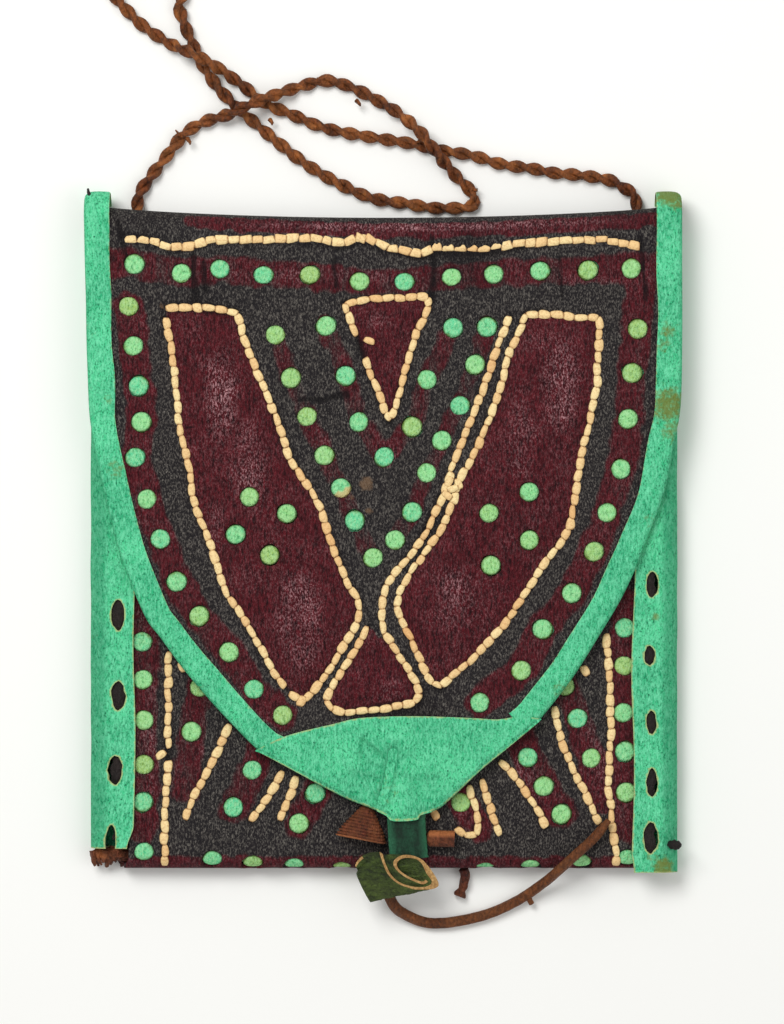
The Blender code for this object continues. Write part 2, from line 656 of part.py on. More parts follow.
def make_tip_patch(materials, parent):
    rings = []
    for outer, top in zip(spots(TIP_EDGE), spots(TIP_TOP)):
        reach = Vector(top) - Vector(outer)
        width = reach.length
        inward = reach.normalized()
        under = min(BINDING_UNDER, 0.7 * width)
        rings.append([(outer[0] + inward.x * inwards, outer[1] + inward.y * inwards, height)
                      for inwards, height in strip_section(width, under)])
    points, faces = bridge_rings(rings)
    add_object("tip_patch", triangulated(mesh_from("tip_patch", points, faces)), materials, parent)


def ribbon(route, low, high):
    """A stitch line: wide in the middle of each stitch, narrow where two stitches meet."""
    line = []
    for index in range(len(route) - 1):
        first, second = Vector(route[index]), Vector(route[index + 1])
        line.append((first, STITCH_WAIST))
        line.append(((first + second) / 2, STITCH_WIDTH))
    line.append((Vector(route[-1]), STITCH_WAIST))
    left, right = [], []
    for index, (point, width) in enumerate(line):
        before = line[max(index - 1, 0)][0]
        after = line[min(index + 1, len(line) - 1)][0]
        along = (after - before).normalized()
        across = Vector((-along.y, along.x)) * width / 2
        left.append(tuple(point + across))
        right.append(tuple(point - across))
    points, faces = [], []
    for pair in zip(left, right):
        points.extend(pair)
    for index in range(len(line) - 1):
        start = 2 * index
        faces.append([start, start + 1, start + 3, start + 2])
    return thicken(points, faces, lambda x, y, depth: (x, y, high - depth), high - low)


def make_lines(lines, low, materials, parent=None):
    for name, route in lines.items():
        points, faces = ribbon(spots(route), low, low + STITCH_THICKNESS)
        add_object(name, mesh_from(name, points, faces), materials, parent)


def make_strap(materials, parent):
    start, finish = spot(*STRAP_TOP_END), spot(*STRAP_BOTTOM_END)
    low = FRONT_TOP + STUB_DIAMETER + 2 * CLEAR
    half_w, half_t = STRAP_WIDTH / 2, STRAP_THICKNESS / 2
    section = [(-0.75, 1), (0.75, 1), (1, 0.4), (1, -0.4), (0.75, -1), (-0.75, -1), (-1, -0.4),
               (-1, 0.4)]
    rings = []
    for centre in (start, finish):
        rings.append([(centre[0] + across * half_w, centre[1], low + half_t + up * half_t)
                      for across, up in section])
    points, faces = bridge_rings(rings)
    add_object("closure_strap", mesh_from("closure_strap", points, faces), materials, parent)


def make_strap_roll(materials, parent):
    """A strip rolled up into a leaning block, its turns one solid."""
    steps = 20
    outer, inner = [], []
    turn = math.radians(ROLL_TURN_DEGREES)
    for step in range(steps + 1):
        angle = 2 * math.pi * ROLL_TURNS * step / steps
        radius = ROLL_RADIUS - ROLL_PITCH * ROLL_TURNS * (1 - step / steps)
        for line, reach in ((outer, radius), (inner, radius - ROLL_SHEET)):
            x, y = reach * ROLL_STRETCH * math.cos(angle), reach * math.sin(angle)
            line.append((x * math.cos(turn) - y * math.sin(turn),
                         x * math.sin(turn) + y * math.cos(turn)))
    points, faces = [], []
    for pair in zip(outer, inner):
        points.extend(pair)
    for index in range(steps):
        start = 2 * index
        faces.append([start, start + 1, start + 3, start + 2])
    low = FRONT_TOP + CLEAR
    base, top = spot(*ROLL_BOTTOM), spot(*ROLL_TOP)

    def place(x, y, depth):
        share = depth / ROLL_HEIGHT
        return (x + top[0] + (base[0] - top[0]) * share, y + top[1] + (base[1] - top[1]) * share,
                low + ROLL_HEIGHT - depth)

    solid, closed = thicken(points, faces, place, ROLL_HEIGHT)
    add_object("strap_roll", mesh_from("strap_roll", solid, closed), materials, parent)


def make_toggle(materials):
    base, apex = Vector(spot(*TOGGLE_BASE)), Vector(spot(*TOGGLE_APEX))
    along = (apex - base).normalized()
    across = Vector((along.y, -along.x))
    ground = FRONT_TOP + CLEAR
    rings = []
    for share, reach in ((0.0, 0.93), (0.06, 1.0), (0.3, 0.8), (0.6, 0.5), (0.85, 0.27), (1.0, 0.10)):
        centre = base + along * TOGGLE_LENGTH * share
        half = TOGGLE_WIDTH / 2 * reach
        ring = []
        for index in range(12):
            angle = 2 * math.pi * index / 12
            side = centre + across * half * math.cos(angle)
            ring.append((side.x, side.y, ground + TOGGLE_FLATNESS * half * (1 + math.sin(angle))))
        rings.append(ring)
    points, faces = bridge_rings(rings)
    add_object("toggle_cone", mesh_from("toggle_cone", points, faces), materials)

    start, finish = spot(*TAIL_FROM), spot(*TAIL_TO)
    thin = STUB_DIAMETER / 2
    thick = TOGGLE_TAIL_DIAMETER / 2
    rings = []
    for share, radius in ((0.0, 0.8 * thin), (0.05, thin), (0.55, thin), (0.60, thick),
                          (0.97, thick), (1.0, 0.85 * thick)):
        x = start[0] + (finish[0] - start[0]) * share
        rings.append([(x, start[1] + radius * math.cos(2 * math.pi * index / 10),
                       ground + radius * (1 + math.sin(2 * math.pi * index / 10)))
                      for index in range(10)])
    points, faces = bridge_rings(rings)
    add_object("toggle_tail", mesh_from("toggle_tail", points, faces), materials)


def smooth_route(route, spacing):
    """Points at an even spacing along a smooth curve through the route's points."""
    knots = [Vector(point) for point in route]
    dense = []
    for index in range(len(knots) - 1):
        before = knots[max(index - 1, 0)]
        first, second = knots[index], knots[index + 1]
        after = knots[min(index + 2, len(knots) - 1)]
        for step in range(12):
            t = step / 12
            dense.append(0.5 * (2 * first + (second - before) * t
                                + (2 * before - 5 * first + 4 * second - after) * t * t
                                + (3 * first - before - 3 * second + after) * t ** 3))
    dense.append(knots[-1])
    total = sum((dense[i + 1] - dense[i]).length for i in range(len(dense) - 1))
    count = max(round(total / spacing), 3)
    even, walked, target = [dense[0]], 0.0, total / count
    for index in range(len(dense) - 1):
        length = (dense[index + 1] - dense[index]).length
        while len(even) < count and walked + length >= target * len(even):
            share = (target * len(even) - walked) / length
            even.append(dense[index].lerp(dense[index + 1], share))
        walked += length
    even.append(dense[-1])
    lowest = min(point.z for point in knots)
    for point in even:
        point.z = max(point.z, lowest)
    return even


def make_tube(name, route, diameter, materials, parent=None):
    points = smooth_route(route, 2.5 * diameter)
    curve = bpy.data.curves.new(name, "CURVE")
    curve.dimensions = "3D"
    spline = curve.splines.new("POLY")
    spline.points.add(len(points) - 1)
    for target, point in zip(spline.points, points):
        target.co = (*point, 1.0)
    curve.bevel_depth = diameter / 2
    curve.bevel_resolution = 2
    curve.use_fill_caps = True
    return add_object(name, curve, materials, parent)


def cord_start(side):
    """The stretch of cord from its knot out through the shell's hole."""
    across = CORD_EXITS[side]
    inner_height = LEATHER + CORD_DIAMETER / 2 + 2 * CLEAR
    return [(across, TOP_START - 0.0018, inner_height), (across, TOP_START + 0.0004, inner_height),
            (across, TOP_FOLD - 0.0020, CORD_EXIT_HEIGHT), (across, TOP_FOLD, CORD_EXIT_HEIGHT)]


def route_points(route):
    return [(*spot(across, down), height) for across, down, height in route]


def make_cords(materials, parent):
    left = cord_start(-1) + route_points(LEFT_ROUTE)
    right = cord_start(1) + route_points(RIGHT_ROUTE)
    make_tube("shoulder_cord_left", left, CORD_DIAMETER, materials)
    make_tube("shoulder_cord_right", right, CORD_DIAMETER, materials)
    make_tube("closure_thong", route_points(THONG_ROUTE), THONG_DIAMETER, materials, parent)
    make_tube("toggle_thong", route_points(STUB_ROUTE), STUB_DIAMETER, materials)
    for side, word in ((-1, "left"), (1, "right")):
        make_knot("stopper_knot_" + word, side, materials)
    make_coil(materials)


def make_knot(name, side, materials):
    radius = KNOT_DIAMETER / 2
    centre = Vector((CORD_EXITS[side], TOP_START - 0.0018 - CLEAR - radius,
                     LEATHER + CLEAR + radius))
    rings = []
    for step in range(1, 6):
        angle = math.pi * step / 6
        reach = radius * math.sin(angle)
        rings.append([(centre.x + reach * math.cos(2 * math.pi * index / 10),
                       centre.y + radius * math.cos(angle),
                       centre.z + reach * math.sin(2 * math.pi * index / 10))
                      for index in range(10)])
    points, faces = bridge_rings(rings)
    add_object(name, mesh_from(name, points, faces), materials)


def make_coil(materials):
    """The outer shape of the wound cord, a turned ring."""
    centre = spot(*COIL_CENTRE)
    half_w, half_h = COIL_THICKNESS / 2, COIL_HEIGHT / 2
    section = [(-1, 0.6), (-0.6, 1), (0.6, 1), (1, 0.6), (1, -0.6), (0.6, -1), (-0.6, -1), (-1, -0.6)]
    steps = 28
    points, faces = [], []
    for step in range(steps):
        angle = 2 * math.pi * step / steps
        for across, up in section:
            reach = COIL_MIDDLE_RADIUS + across * half_w
            points.append((centre[0] + reach * math.cos(angle), centre[1] + reach * math.sin(angle),
                           half_h + up * half_h + FLOOR_CLEAR))
    count = len(section)
    for step in range(steps):
        following = (step + 1) % steps
        for index in range(count):
            neighbour = (index + 1) % count
            faces.append([step * count + index, step * count + neighbour,
                          following * count + neighbour, following * count + index])
    add_object("cord_coil", mesh_from("cord_coil", points, faces), materials)


def make_hinge():
    hinge = bpy.data.objects.new("flap_hinge", None)
    bpy.context.scene.collection.objects.link(hinge)
    hinge.location = (0.0, HINGE_LINE, HINGE_HEIGHT)
    bpy.context.view_layer.update()
    return hinge


def main():
    remove_everything()
    maroon = make_material("maroon_leather", MAROON, 0.55)
    black = make_material("black_leather", BLACK, 0.5)
    green = make_material("green_leather", GREEN, 0.6)
    olive = make_material("olive_leather", OLIVE, 0.6)
    tan = make_material("tan_strip", TAN, 0.7)
    brown = make_material("brown_leather", BROWN, 0.5)
    hinge = make_hinge()
    make_shell([maroon])
    make_front_lining([green])
    make_side(-1, LEFT_SLITS, "left", [green], [black])
    make_side(1, RIGHT_SLITS, "right", [green], [black])
    make_tuft([brown])
    make_lines(FRONT_LINES, FRONT_TRIM_BOTTOM, [tan])
    make_flap([maroon, black], hinge)
    make_flap_lining([green], hinge)
    make_binding("flap_binding_left", spots(FLAP_EDGE_LEFT), [green], hinge, -1)
    make_binding("flap_binding_right", spots(FLAP_EDGE_RIGHT), [green], hinge, 1)
    make_tip_patch([green], hinge)
    make_lines(FLAP_LINES, TRIM_BOTTOM, [tan], hinge)
    make_strap([olive], hinge)
    make_strap_roll([olive], hinge)
    make_toggle([brown])
    make_cords([brown], hinge)


main()
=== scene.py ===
import bpy
import json
import math
import random
import numpy as np
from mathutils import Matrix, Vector, noise


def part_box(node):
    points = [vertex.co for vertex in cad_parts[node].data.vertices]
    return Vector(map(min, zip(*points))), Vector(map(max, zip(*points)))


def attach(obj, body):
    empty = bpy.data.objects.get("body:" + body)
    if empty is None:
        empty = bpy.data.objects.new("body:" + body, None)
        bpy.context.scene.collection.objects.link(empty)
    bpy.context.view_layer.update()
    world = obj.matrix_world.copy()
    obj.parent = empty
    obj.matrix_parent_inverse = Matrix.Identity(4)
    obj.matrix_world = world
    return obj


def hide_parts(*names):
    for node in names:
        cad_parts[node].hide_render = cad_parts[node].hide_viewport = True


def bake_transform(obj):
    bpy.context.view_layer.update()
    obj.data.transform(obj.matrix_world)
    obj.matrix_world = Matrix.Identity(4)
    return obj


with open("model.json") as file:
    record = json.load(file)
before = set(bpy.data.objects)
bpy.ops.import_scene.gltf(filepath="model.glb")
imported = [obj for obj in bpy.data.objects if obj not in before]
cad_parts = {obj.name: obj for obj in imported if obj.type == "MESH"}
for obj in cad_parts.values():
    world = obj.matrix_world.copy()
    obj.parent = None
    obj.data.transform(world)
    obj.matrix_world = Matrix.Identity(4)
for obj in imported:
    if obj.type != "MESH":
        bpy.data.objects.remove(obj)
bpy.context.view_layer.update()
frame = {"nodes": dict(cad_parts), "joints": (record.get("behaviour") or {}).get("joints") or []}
nodes = frame["nodes"]
random.seed(12)

leftBandLow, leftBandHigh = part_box("side_band_left")
rightBandLow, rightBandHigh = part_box("side_band_right")
unit = (rightBandHigh.x - leftBandLow.x) / 588.8   # one drawing unit in metres
middleAcross, middleDown = 384.0, 532.0
mm = 0.001


def at(across, down):
    # drawing point to metres on the pouch
    return ((across - middleAcross) * unit, (middleDown - down) * unit)


def atAll(points):
    return [at(across, down) for across, down in points]


# small tools used by many pieces

def clearSelection():
    if bpy.context.object and bpy.context.object.mode != "OBJECT":
        bpy.ops.object.mode_set(mode="OBJECT")
    bpy.ops.object.select_all(action="DESELECT")


def pick(piece):
    clearSelection()
    piece.select_set(True)
    bpy.context.view_layer.objects.active = piece


def applyAll(piece):
    pick(piece)
    for modifier in list(piece.modifiers):
        bpy.ops.object.modifier_apply(modifier=modifier.name)


def joinPieces(pieces, name):
    clearSelection()
    for piece in pieces:
        piece.select_set(True)
    bpy.context.view_layer.objects.active = pieces[0]
    if len(pieces) > 1:
        bpy.ops.object.join()
    joined = bpy.context.object
    joined.name = name
    joined.data.name = name
    return joined


def meshPiece(name, points, faces, smooth=True):
    mesh = bpy.data.meshes.new(name)
    mesh.from_pydata([tuple(point) for point in points], [], faces)
    mesh.update()
    piece = bpy.data.objects.new(name, mesh)
    bpy.context.scene.collection.objects.link(piece)
    if smooth:
        mesh.shade_smooth()
    return piece


def tubeFaces(rings, around):
    # faces of a closed tube whose points come ring after ring
    faces = [list(reversed(range(around))), [(rings - 1) * around + corner for corner in range(around)]]
    for ring in range(rings - 1):
        for corner in range(around):
            following = (corner + 1) % around
            faces.append([ring * around + corner, ring * around + following,
                          (ring + 1) * around + following, (ring + 1) * around + corner])
    return faces


def fixNormals(piece):
    pick(piece)
    bpy.ops.object.mode_set(mode="EDIT")
    bpy.ops.mesh.select_all(action="SELECT")
    bpy.ops.mesh.normals_make_consistent(inside=False)
    bpy.ops.object.mode_set(mode="OBJECT")


def pointsOf(piece):
    flat = np.empty(len(piece.data.vertices) * 3)
    piece.data.vertices.foreach_get("co", flat)
    return flat.reshape(-1, 3)


def setPoints(piece, points):
    piece.data.vertices.foreach_set("co", np.ascontiguousarray(points).ravel())
    piece.data.update()


def angleOf(corner, corners):
    return 2 * math.pi * corner / corners


def paint(piece, name, values):
    # one grey value per point, read by the material as an attribute
    layer = piece.data.attributes.new(name, "FLOAT", "POINT")
    layer.data.foreach_set("value", np.asarray(values, dtype=np.float32))


def paintPlain(piece, name):
    paint(piece, name, np.zeros(len(piece.data.vertices)))


def smoothStep(low, high, values):
    share = np.clip((values - low) / (high - low), 0.0, 1.0)
    return share * share * (3 - 2 * share)


def waves(points, scale, seed):
    # soft noise over many points
    return np.array([noise.noise(Vector((p[0] * scale + seed, p[1] * scale - seed, p[2] * scale)))
                     for p in points])


def distanceToLine(points, line):
    # shortest distance of each flat point to a line of flat points
    best = np.full(len(points), 1e9)
    for first, second in zip(line[:-1], line[1:]):
        a, b = np.array(first), np.array(second)
        run = b - a
        share = np.clip(((points - a) @ run) / max(run @ run, 1e-12), 0, 1)
        gap = np.linalg.norm(points - (a + share[:, None] * run), axis=1)
        best = np.minimum(best, gap)
    return best


def gapToLines(flat, lines):
    gap = np.full(len(flat), 1e9)
    for line in lines:
        gap = np.minimum(gap, distanceToLine(flat, line))
    return gap


def onGround(flat):
    # flat points as points of height 0
    return np.column_stack([flat, np.zeros(len(flat))])


def insideOutline(points, outline):
    inside = np.zeros(len(points), bool)
    for first, second in zip(outline, outline[1:] + outline[:1]):
        crosses = (first[1] > points[:, 1]) != (second[1] > points[:, 1])
        rise = second[1] - first[1]
        if rise == 0:
            continue
        where = first[0] + (points[:, 1] - first[1]) / rise * (second[0] - first[0])
        inside ^= crosses & (points[:, 0] < where)
    return inside


def smoothLine(points, stepLength):
    # even points along a smooth curve through the given ones
    knots = [Vector(point) for point in points]
    dense = []
    for index in range(len(knots) - 1):
        before = knots[max(index - 1, 0)]
        first, second = knots[index], knots[index + 1]
        after = knots[min(index + 2, len(knots) - 1)]
        for step in range(12):
            t = step / 12
            dense.append(0.5 * (2 * first + (second - before) * t
                                + (2 * before - 5 * first + 4 * second - after) * t * t
                                + (3 * first - before - 3 * second + after) * t ** 3))
    dense.append(knots[-1])
    total = sum((b - a).length for a, b in zip(dense[:-1], dense[1:]))
    spans = max(round(total / stepLength), 3)
    even, walked = [dense[0]], 0.0
    for a, b in zip(dense[:-1], dense[1:]):
        length = (b - a).length
        while len(even) < spans and walked + length >= total / spans * len(even):
            even.append(a.lerp(b, (total / spans * len(even) - walked) / max(length, 1e-9)))
        walked += length
    even.append(dense[-1])
    return even


# camera straight above, as in the photo
cameraSettings = {"height": 1.3, "acrossMiddle": 392, "downMiddle": 512, "pictureHeight": 1024,
                  "focusHeight": 0.010}


def makeCamera():
    s = cameraSettings
    x, y = at(s["acrossMiddle"], s["downMiddle"])
    bpy.ops.object.camera_add(location=(x, y, s["height"]), rotation=(0, 0, 0))
    camera = bpy.context.object
    camera.data.sensor_fit = "VERTICAL"
    reach = s["height"] - s["focusHeight"]
    camera.data.angle = 2 * math.atan(s["pictureHeight"] * unit / 2 / reach)
    camera.data.clip_start = 0.01
    bpy.context.scene.camera = camera


makeCamera()
print("camera done")


# floor, world and lamps
lightSettings = {"skyStrength": 0.42, "keyWatts": 7.35, "fillWatts": 1.9, "floorColor": 0.96,
                 "floorBlue": 0.965}


def makeStage():
    s = lightSettings
    bpy.ops.mesh.primitive_plane_add(size=4.0, location=(0, 0, 0))
    floor = bpy.context.object
    floor.name = "floor"
    material = bpy.data.materials.new("floor")
    material.use_nodes = True
    tree = material.node_tree
    shader = tree.nodes["Principled BSDF"]
    shader.inputs["Base Color"].default_value = (s["floorColor"], s["floorColor"],
                                                 s["floorColor"] * s["floorBlue"], 1)
    shader.inputs["Roughness"].default_value = 0.9
    shader.inputs["Specular IOR Level"].default_value = 0.1
    floor.data.materials.append(material)

    world = bpy.data.worlds.new("world")
    bpy.context.scene.world = world
    world.use_nodes = True
    tree = world.node_tree
    background = tree.nodes["Background"]
    rays = tree.nodes.new("ShaderNodeLightPath")
    seen = tree.nodes.new("ShaderNodeMath")
    seen.operation = "MAXIMUM"
    tree.links.new(rays.outputs["Is Camera Ray"], seen.inputs[0])
    tree.links.new(rays.outputs["Is Glossy Ray"], seen.inputs[1])
    strength = tree.nodes.new("ShaderNodeMapRange")
    strength.inputs["To Min"].default_value = s["skyStrength"]
    strength.inputs["To Max"].default_value = 1.0
    tree.links.new(seen.outputs[0], strength.inputs["Value"])
    tree.links.new(strength.outputs["Result"], background.inputs["Strength"])
    background.inputs["Color"].default_value = (1, 1, 1, 1)

    lamps = [("key", (-0.35, 0.45, 0.9), 0.5, s["keyWatts"]),
             ("fill", (0.6, -0.2, 0.8), 0.8, s["fillWatts"])]
    for name, place, size, watts in lamps:
        bpy.ops.object.light_add(type="AREA", location=place)
        lamp = bpy.context.object
        lamp.name = name
        lamp.data.size = size
        lamp.data.energy = watts
        lamp.rotation_euler = Vector(place).to_track_quat("Z", "Y").to_euler()
    bpy.context.scene.view_settings.view_transform = "Standard"


makeStage()
print("stage done")


# materials: small helpers first

def toned(red, green, blue):
    # a picture colour as the linear colour that a shader takes
    shares = [value / 255 for value in (red, green, blue)]
    return tuple(v / 12.92 if v <= 0.04045 else ((v + 0.055) / 1.055) ** 2.4 for v in shares) + (1.0,)


def feed(tree, socket, value):
    if isinstance(value, bpy.types.NodeSocket):
        tree.links.new(value, socket)
    else:
        socket.default_value = value


def addNode(tree, kind, inputs=None, **settings):
    node = tree.nodes.new(kind)
    for name, value in settings.items():
        setattr(node, name, value)
    for name, value in (inputs or {}).items():
        feed(tree, node.inputs[name], value)
    return node


def count(tree, operation, first, second=0.0):
    node = addNode(tree, "ShaderNodeMath", operation=operation)
    feed(tree, node.inputs[0], first)
    feed(tree, node.inputs[1], second)
    return node.outputs[0]


def spread(tree, value, low, high, toLow=0.0, toHigh=1.0):
    return addNode(tree, "ShaderNodeMapRange",
                   {"Value": value, "From Min": low, "From Max": high, "To Min": toLow,
                    "To Max": toHigh}).outputs["Result"]


def mixColor(tree, share, first, second, way="MIX"):
    node = addNode(tree, "ShaderNodeMix", data_type="RGBA", blend_type=way)
    feed(tree, node.inputs[0], share)
    feed(tree, node.inputs[6], first)
    feed(tree, node.inputs[7], second)
    return node.outputs[2]


def attribute(tree, name):
    return addNode(tree, "ShaderNodeAttribute", attribute_name=name).outputs["Fac"]


def newGroup(name, inputs, outputs):
    group = bpy.data.node_groups.new(name, "ShaderNodeTree")
    for socketName, kind in inputs:
        group.interface.new_socket(name=socketName, in_out="INPUT", socket_type=kind)
    for socketName in outputs:
        group.interface.new_socket(name=socketName, in_out="OUTPUT", socket_type="NodeSocketFloat")
    return group, group.nodes.new("NodeGroupInput"), group.nodes.new("NodeGroupOutput")


def useGroup(tree, group, inputs):
    node = tree.nodes.new("ShaderNodeGroup")
    node.node_tree = group
    for name, value in inputs.items():
        feed(tree, node.inputs[name], value)
    return node.outputs


def stretched(tree, place, size, stretch):
    scale = addNode(tree, "ShaderNodeCombineXYZ", {"X": count(tree, "MULTIPLY", size, stretch),
                                                   "Y": size, "Z": size})
    node = addNode(tree, "ShaderNodeVectorMath", operation="MULTIPLY")
    tree.links.new(place, node.inputs[0])
    tree.links.new(scale.outputs[0], node.inputs[1])
    return node.outputs[0]


def makeGrainGroup():
    # fine leather grain: small cells with soft rims, broken up by noise
    group, given, result = newGroup("leatherGrain", [("Place", "NodeSocketVector"),
                                                     ("Size", "NodeSocketFloat"),
                                                     ("Stretch", "NodeSocketFloat")],
                                    ["Height", "Pores"])
    spot = stretched(group, given.outputs["Place"], given.outputs["Size"], given.outputs["Stretch"])
    cells = addNode(group, "ShaderNodeTexVoronoi", {"Vector": spot, "Scale": 1.0, "Randomness": 1.0},
                    feature="F1")
    rough = addNode(group, "ShaderNodeTexNoise", {"Vector": spot, "Scale": 0.8, "Detail": 5.0,
                                                  "Roughness": 0.65})
    height = count(group, "ADD", count(group, "MULTIPLY", cells.outputs["Distance"], 0.7),
                   rough.outputs[0])
    group.links.new(height, result.inputs["Height"])
    group.links.new(spread(group, rough.outputs[0], 0.48, 0.62), result.inputs["Pores"])
    return group


def makeFibreGroup():
    # long soft streaks of fibre
    group, given, result = newGroup("fibreStreaks", [("Place", "NodeSocketVector"),
                                                     ("Size", "NodeSocketFloat"),
                                                     ("Stretch", "NodeSocketFloat")],
                                    ["Streaks", "Cloud"])
    spot = stretched(group, given.outputs["Place"], given.outputs["Size"], given.outputs["Stretch"])
    fine = addNode(group, "ShaderNodeTexNoise", {"Vector": spot, "Scale": 1.0, "Detail": 6.0,
                                                 "Roughness": 0.6, "Distortion": 0.4})
    wide = addNode(group, "ShaderNodeTexNoise", {"Vector": spot, "Scale": 0.13, "Detail": 3.0})
    group.links.new(spread(group, fine.outputs[0], 0.35, 0.65), result.inputs["Streaks"])
    group.links.new(spread(group, wide.outputs[0], 0.35, 0.65), result.inputs["Cloud"])
    return group


def makeWearGroup():
    # rubbed edges: an edge mask that noise eats into
    group, given, result = newGroup("edgeWear", [("Place", "NodeSocketVector"),
                                                 ("Edge", "NodeSocketFloat"),
                                                 ("Amount", "NodeSocketFloat")], ["Worn"])
    rough = addNode(group, "ShaderNodeTexNoise", {"Vector": given.outputs["Place"], "Scale": 900.0,
                                                  "Detail": 4.0})
    total = count(group, "ADD", given.outputs["Edge"],
                  count(group, "MULTIPLY", count(group, "SUBTRACT", rough.outputs[0], 0.5), 1.2))
    worn = count(group, "MULTIPLY", spread(group, total, 0.35, 0.85), given.outputs["Amount"])
    group.links.new(worn, result.inputs["Worn"])
    return group


grainGroup, fibreGroup, wearGroup = makeGrainGroup(), makeFibreGroup(), makeWearGroup()


def startMaterial(name):
    material = bpy.data.materials.new(name)
    material.use_nodes = True
    tree = material.node_tree
    place = tree.nodes.new("ShaderNodeTexCoord").outputs["Object"]
    return material, tree, tree.nodes["Principled BSDF"], place


def useTexture(tree, group, place, size, stretch):
    return useGroup(tree, group, {"Place": place, "Size": size, "Stretch": stretch})


def wornTo(tree, place, name, amount, color, tone):
    # the colour gives way to a tone where the attribute and noise wear it off
    worn = useGroup(tree, wearGroup, {"Place": place, "Edge": attribute(tree, name), "Amount": amount})
    return mixColor(tree, worn["Worn"], color, tone)


def finishMaterial(tree, shader, color, roughness, height, bumpDepth, specular=0.35):
    tree.links.new(color, shader.inputs["Base Color"])
    feed(tree, shader.inputs["Roughness"], roughness)
    shader.inputs["Specular IOR Level"].default_value = specular
    bump = addNode(tree, "ShaderNodeBump", {"Strength": 1.0, "Distance": bumpDepth, "Height": height})
    tree.links.new(bump.outputs[0], shader.inputs["Normal"])


panelColors = {"black": toned(34, 31, 33), "blackSpeck": toned(134, 128, 120), "maroon": toned(98, 28, 36),
               "maroonDark": toned(32, 8, 12), "maroonPale": toned(196, 146, 150),
               "creaseShade": toned(16, 13, 15), "scuff": toned(136, 108, 82)}


def makePanelLeather():
    c = panelColors
    material, tree, shader, place = startMaterial("panelLeather")
    fibre = useTexture(tree, fibreGroup, place, 520.0, 3.6)
    grain = useTexture(tree, grainGroup, place, 1900.0, 1.9)
    rise, sheenAndWear = attribute(tree, "rise"), attribute(tree, "sheenAndWear")
    specks = count(tree, "MULTIPLY", grain["Pores"], count(tree, "ADD", fibre["Streaks"], 0.35))
    maroon = mixColor(tree, fibre["Streaks"], c["maroonDark"], c["maroon"])
    # painted sheen: paler pink specks where the sheen-and-wear attribute is high, and a paler worn strip
    # along the top fold
    maroon = mixColor(tree, count(tree, "MULTIPLY", specks, sheenAndWear), maroon, c["maroonPale"])
    black = mixColor(tree, count(tree, "MULTIPLY", specks, 0.62), c["black"], c["blackSpeck"])
    # the black dye lies unevenly, so that the maroon shows through in spots
    dye = count(tree, "ADD", attribute(tree, "dye"),
                count(tree, "MULTIPLY", count(tree, "SUBTRACT", fibre["Cloud"], 0.5), 0.5))
    color = mixColor(tree, spread(tree, dye, 0.25, 0.75), black, maroon)
    # painted shade: darker in the grooves beside the stitches, in the creases and at the hole rims, where
    # the rise attribute is low
    color = mixColor(tree, spread(tree, rise, 0.20, 0.02, 0.0, 0.8), color, c["creaseShade"])
    color = wornTo(tree, place, "scuff", 0.6, color, c["scuff"])
    roughness = spread(tree, grain["Height"], 0.3, 1.0, 0.5, 0.85)
    height = count(tree, "ADD", count(tree, "MULTIPLY", grain["Height"], 0.8),
                   count(tree, "MULTIPLY", fibre["Streaks"], 0.5))
    finishMaterial(tree, shader, color, roughness, height, 0.00042, 0.12)
    return material


greenColors = {"mint": toned(80, 214, 150), "teal": toned(44, 176, 120), "bright": toned(138, 244, 194),
               "dark": toned(24, 112, 76), "raw": toned(196, 196, 128), "stain": toned(118, 122, 44)}


def makeGreenLeather():
    c = greenColors
    material, tree, shader, place = startMaterial("greenLeather")
    fibre = useTexture(tree, fibreGroup, place, 620.0, 3.0)
    grain = useTexture(tree, grainGroup, place, 2100.0, 1.6)
    cloud = addNode(tree, "ShaderNodeTexNoise", {"Vector": place, "Scale": 95.0, "Detail": 4.0})
    color = mixColor(tree, spread(tree, cloud.outputs[0], 0.36, 0.66), c["teal"], c["mint"])
    color = mixColor(tree, count(tree, "MULTIPLY", fibre["Streaks"], 0.62), color, c["bright"])
    hollow = count(tree, "MULTIPLY", grain["Pores"], count(tree, "SUBTRACT", 1.1, fibre["Streaks"]))
    color = mixColor(tree, count(tree, "MULTIPLY", hollow, 0.95), color, c["dark"])
    color = mixColor(tree, attribute(tree, "shade"), color, c["dark"])
    specks = addNode(tree, "ShaderNodeTexVoronoi", {"Vector": place, "Scale": 420.0}, feature="F1")
    rare = count(tree, "MULTIPLY", spread(tree, specks.outputs["Distance"], 0.13, 0.06),
                 spread(tree, specks.outputs["Color"], 0.55, 0.75))
    color = mixColor(tree, rare, color, c["dark"])
    color = wornTo(tree, place, "stain", 0.85, color, c["stain"])
    color = wornTo(tree, place, "edge", 0.75, color, c["raw"])
    height = count(tree, "ADD", grain["Height"], count(tree, "MULTIPLY", fibre["Streaks"], 0.6))
    finishMaterial(tree, shader, color, 0.76, height, 0.00022, 0.14)
    return material


def makeDotMaterial():
    material, tree, shader, place = startMaterial("greenDots")
    grain = useTexture(tree, grainGroup, place, 1700.0, 1.5)
    fibre = useTexture(tree, fibreGroup, place, 900.0, 2.4)
    tone = attribute(tree, "tone")
    color = mixColor(tree, spread(tree, tone, 0.0, 0.5), toned(86, 212, 154), toned(142, 222, 142))
    color = mixColor(tree, spread(tree, tone, 0.5, 1.0), color, toned(160, 196, 100))
    color = mixColor(tree, count(tree, "MULTIPLY", fibre["Streaks"], 0.5), color, toned(196, 240, 184))
    hollow = count(tree, "MULTIPLY", grain["Pores"], count(tree, "SUBTRACT", 1.1, fibre["Streaks"]))
    color = mixColor(tree, count(tree, "MULTIPLY", hollow, 0.7), color, toned(52, 124, 66))
    color = wornTo(tree, place, "rim", 0.85, color, toned(104, 128, 44))
    color = mixColor(tree, attribute(tree, "faded"), color, toned(224, 178, 122))
    finishMaterial(tree, shader, color, 0.76, grain["Height"], 0.00026, 0.14)
    return material


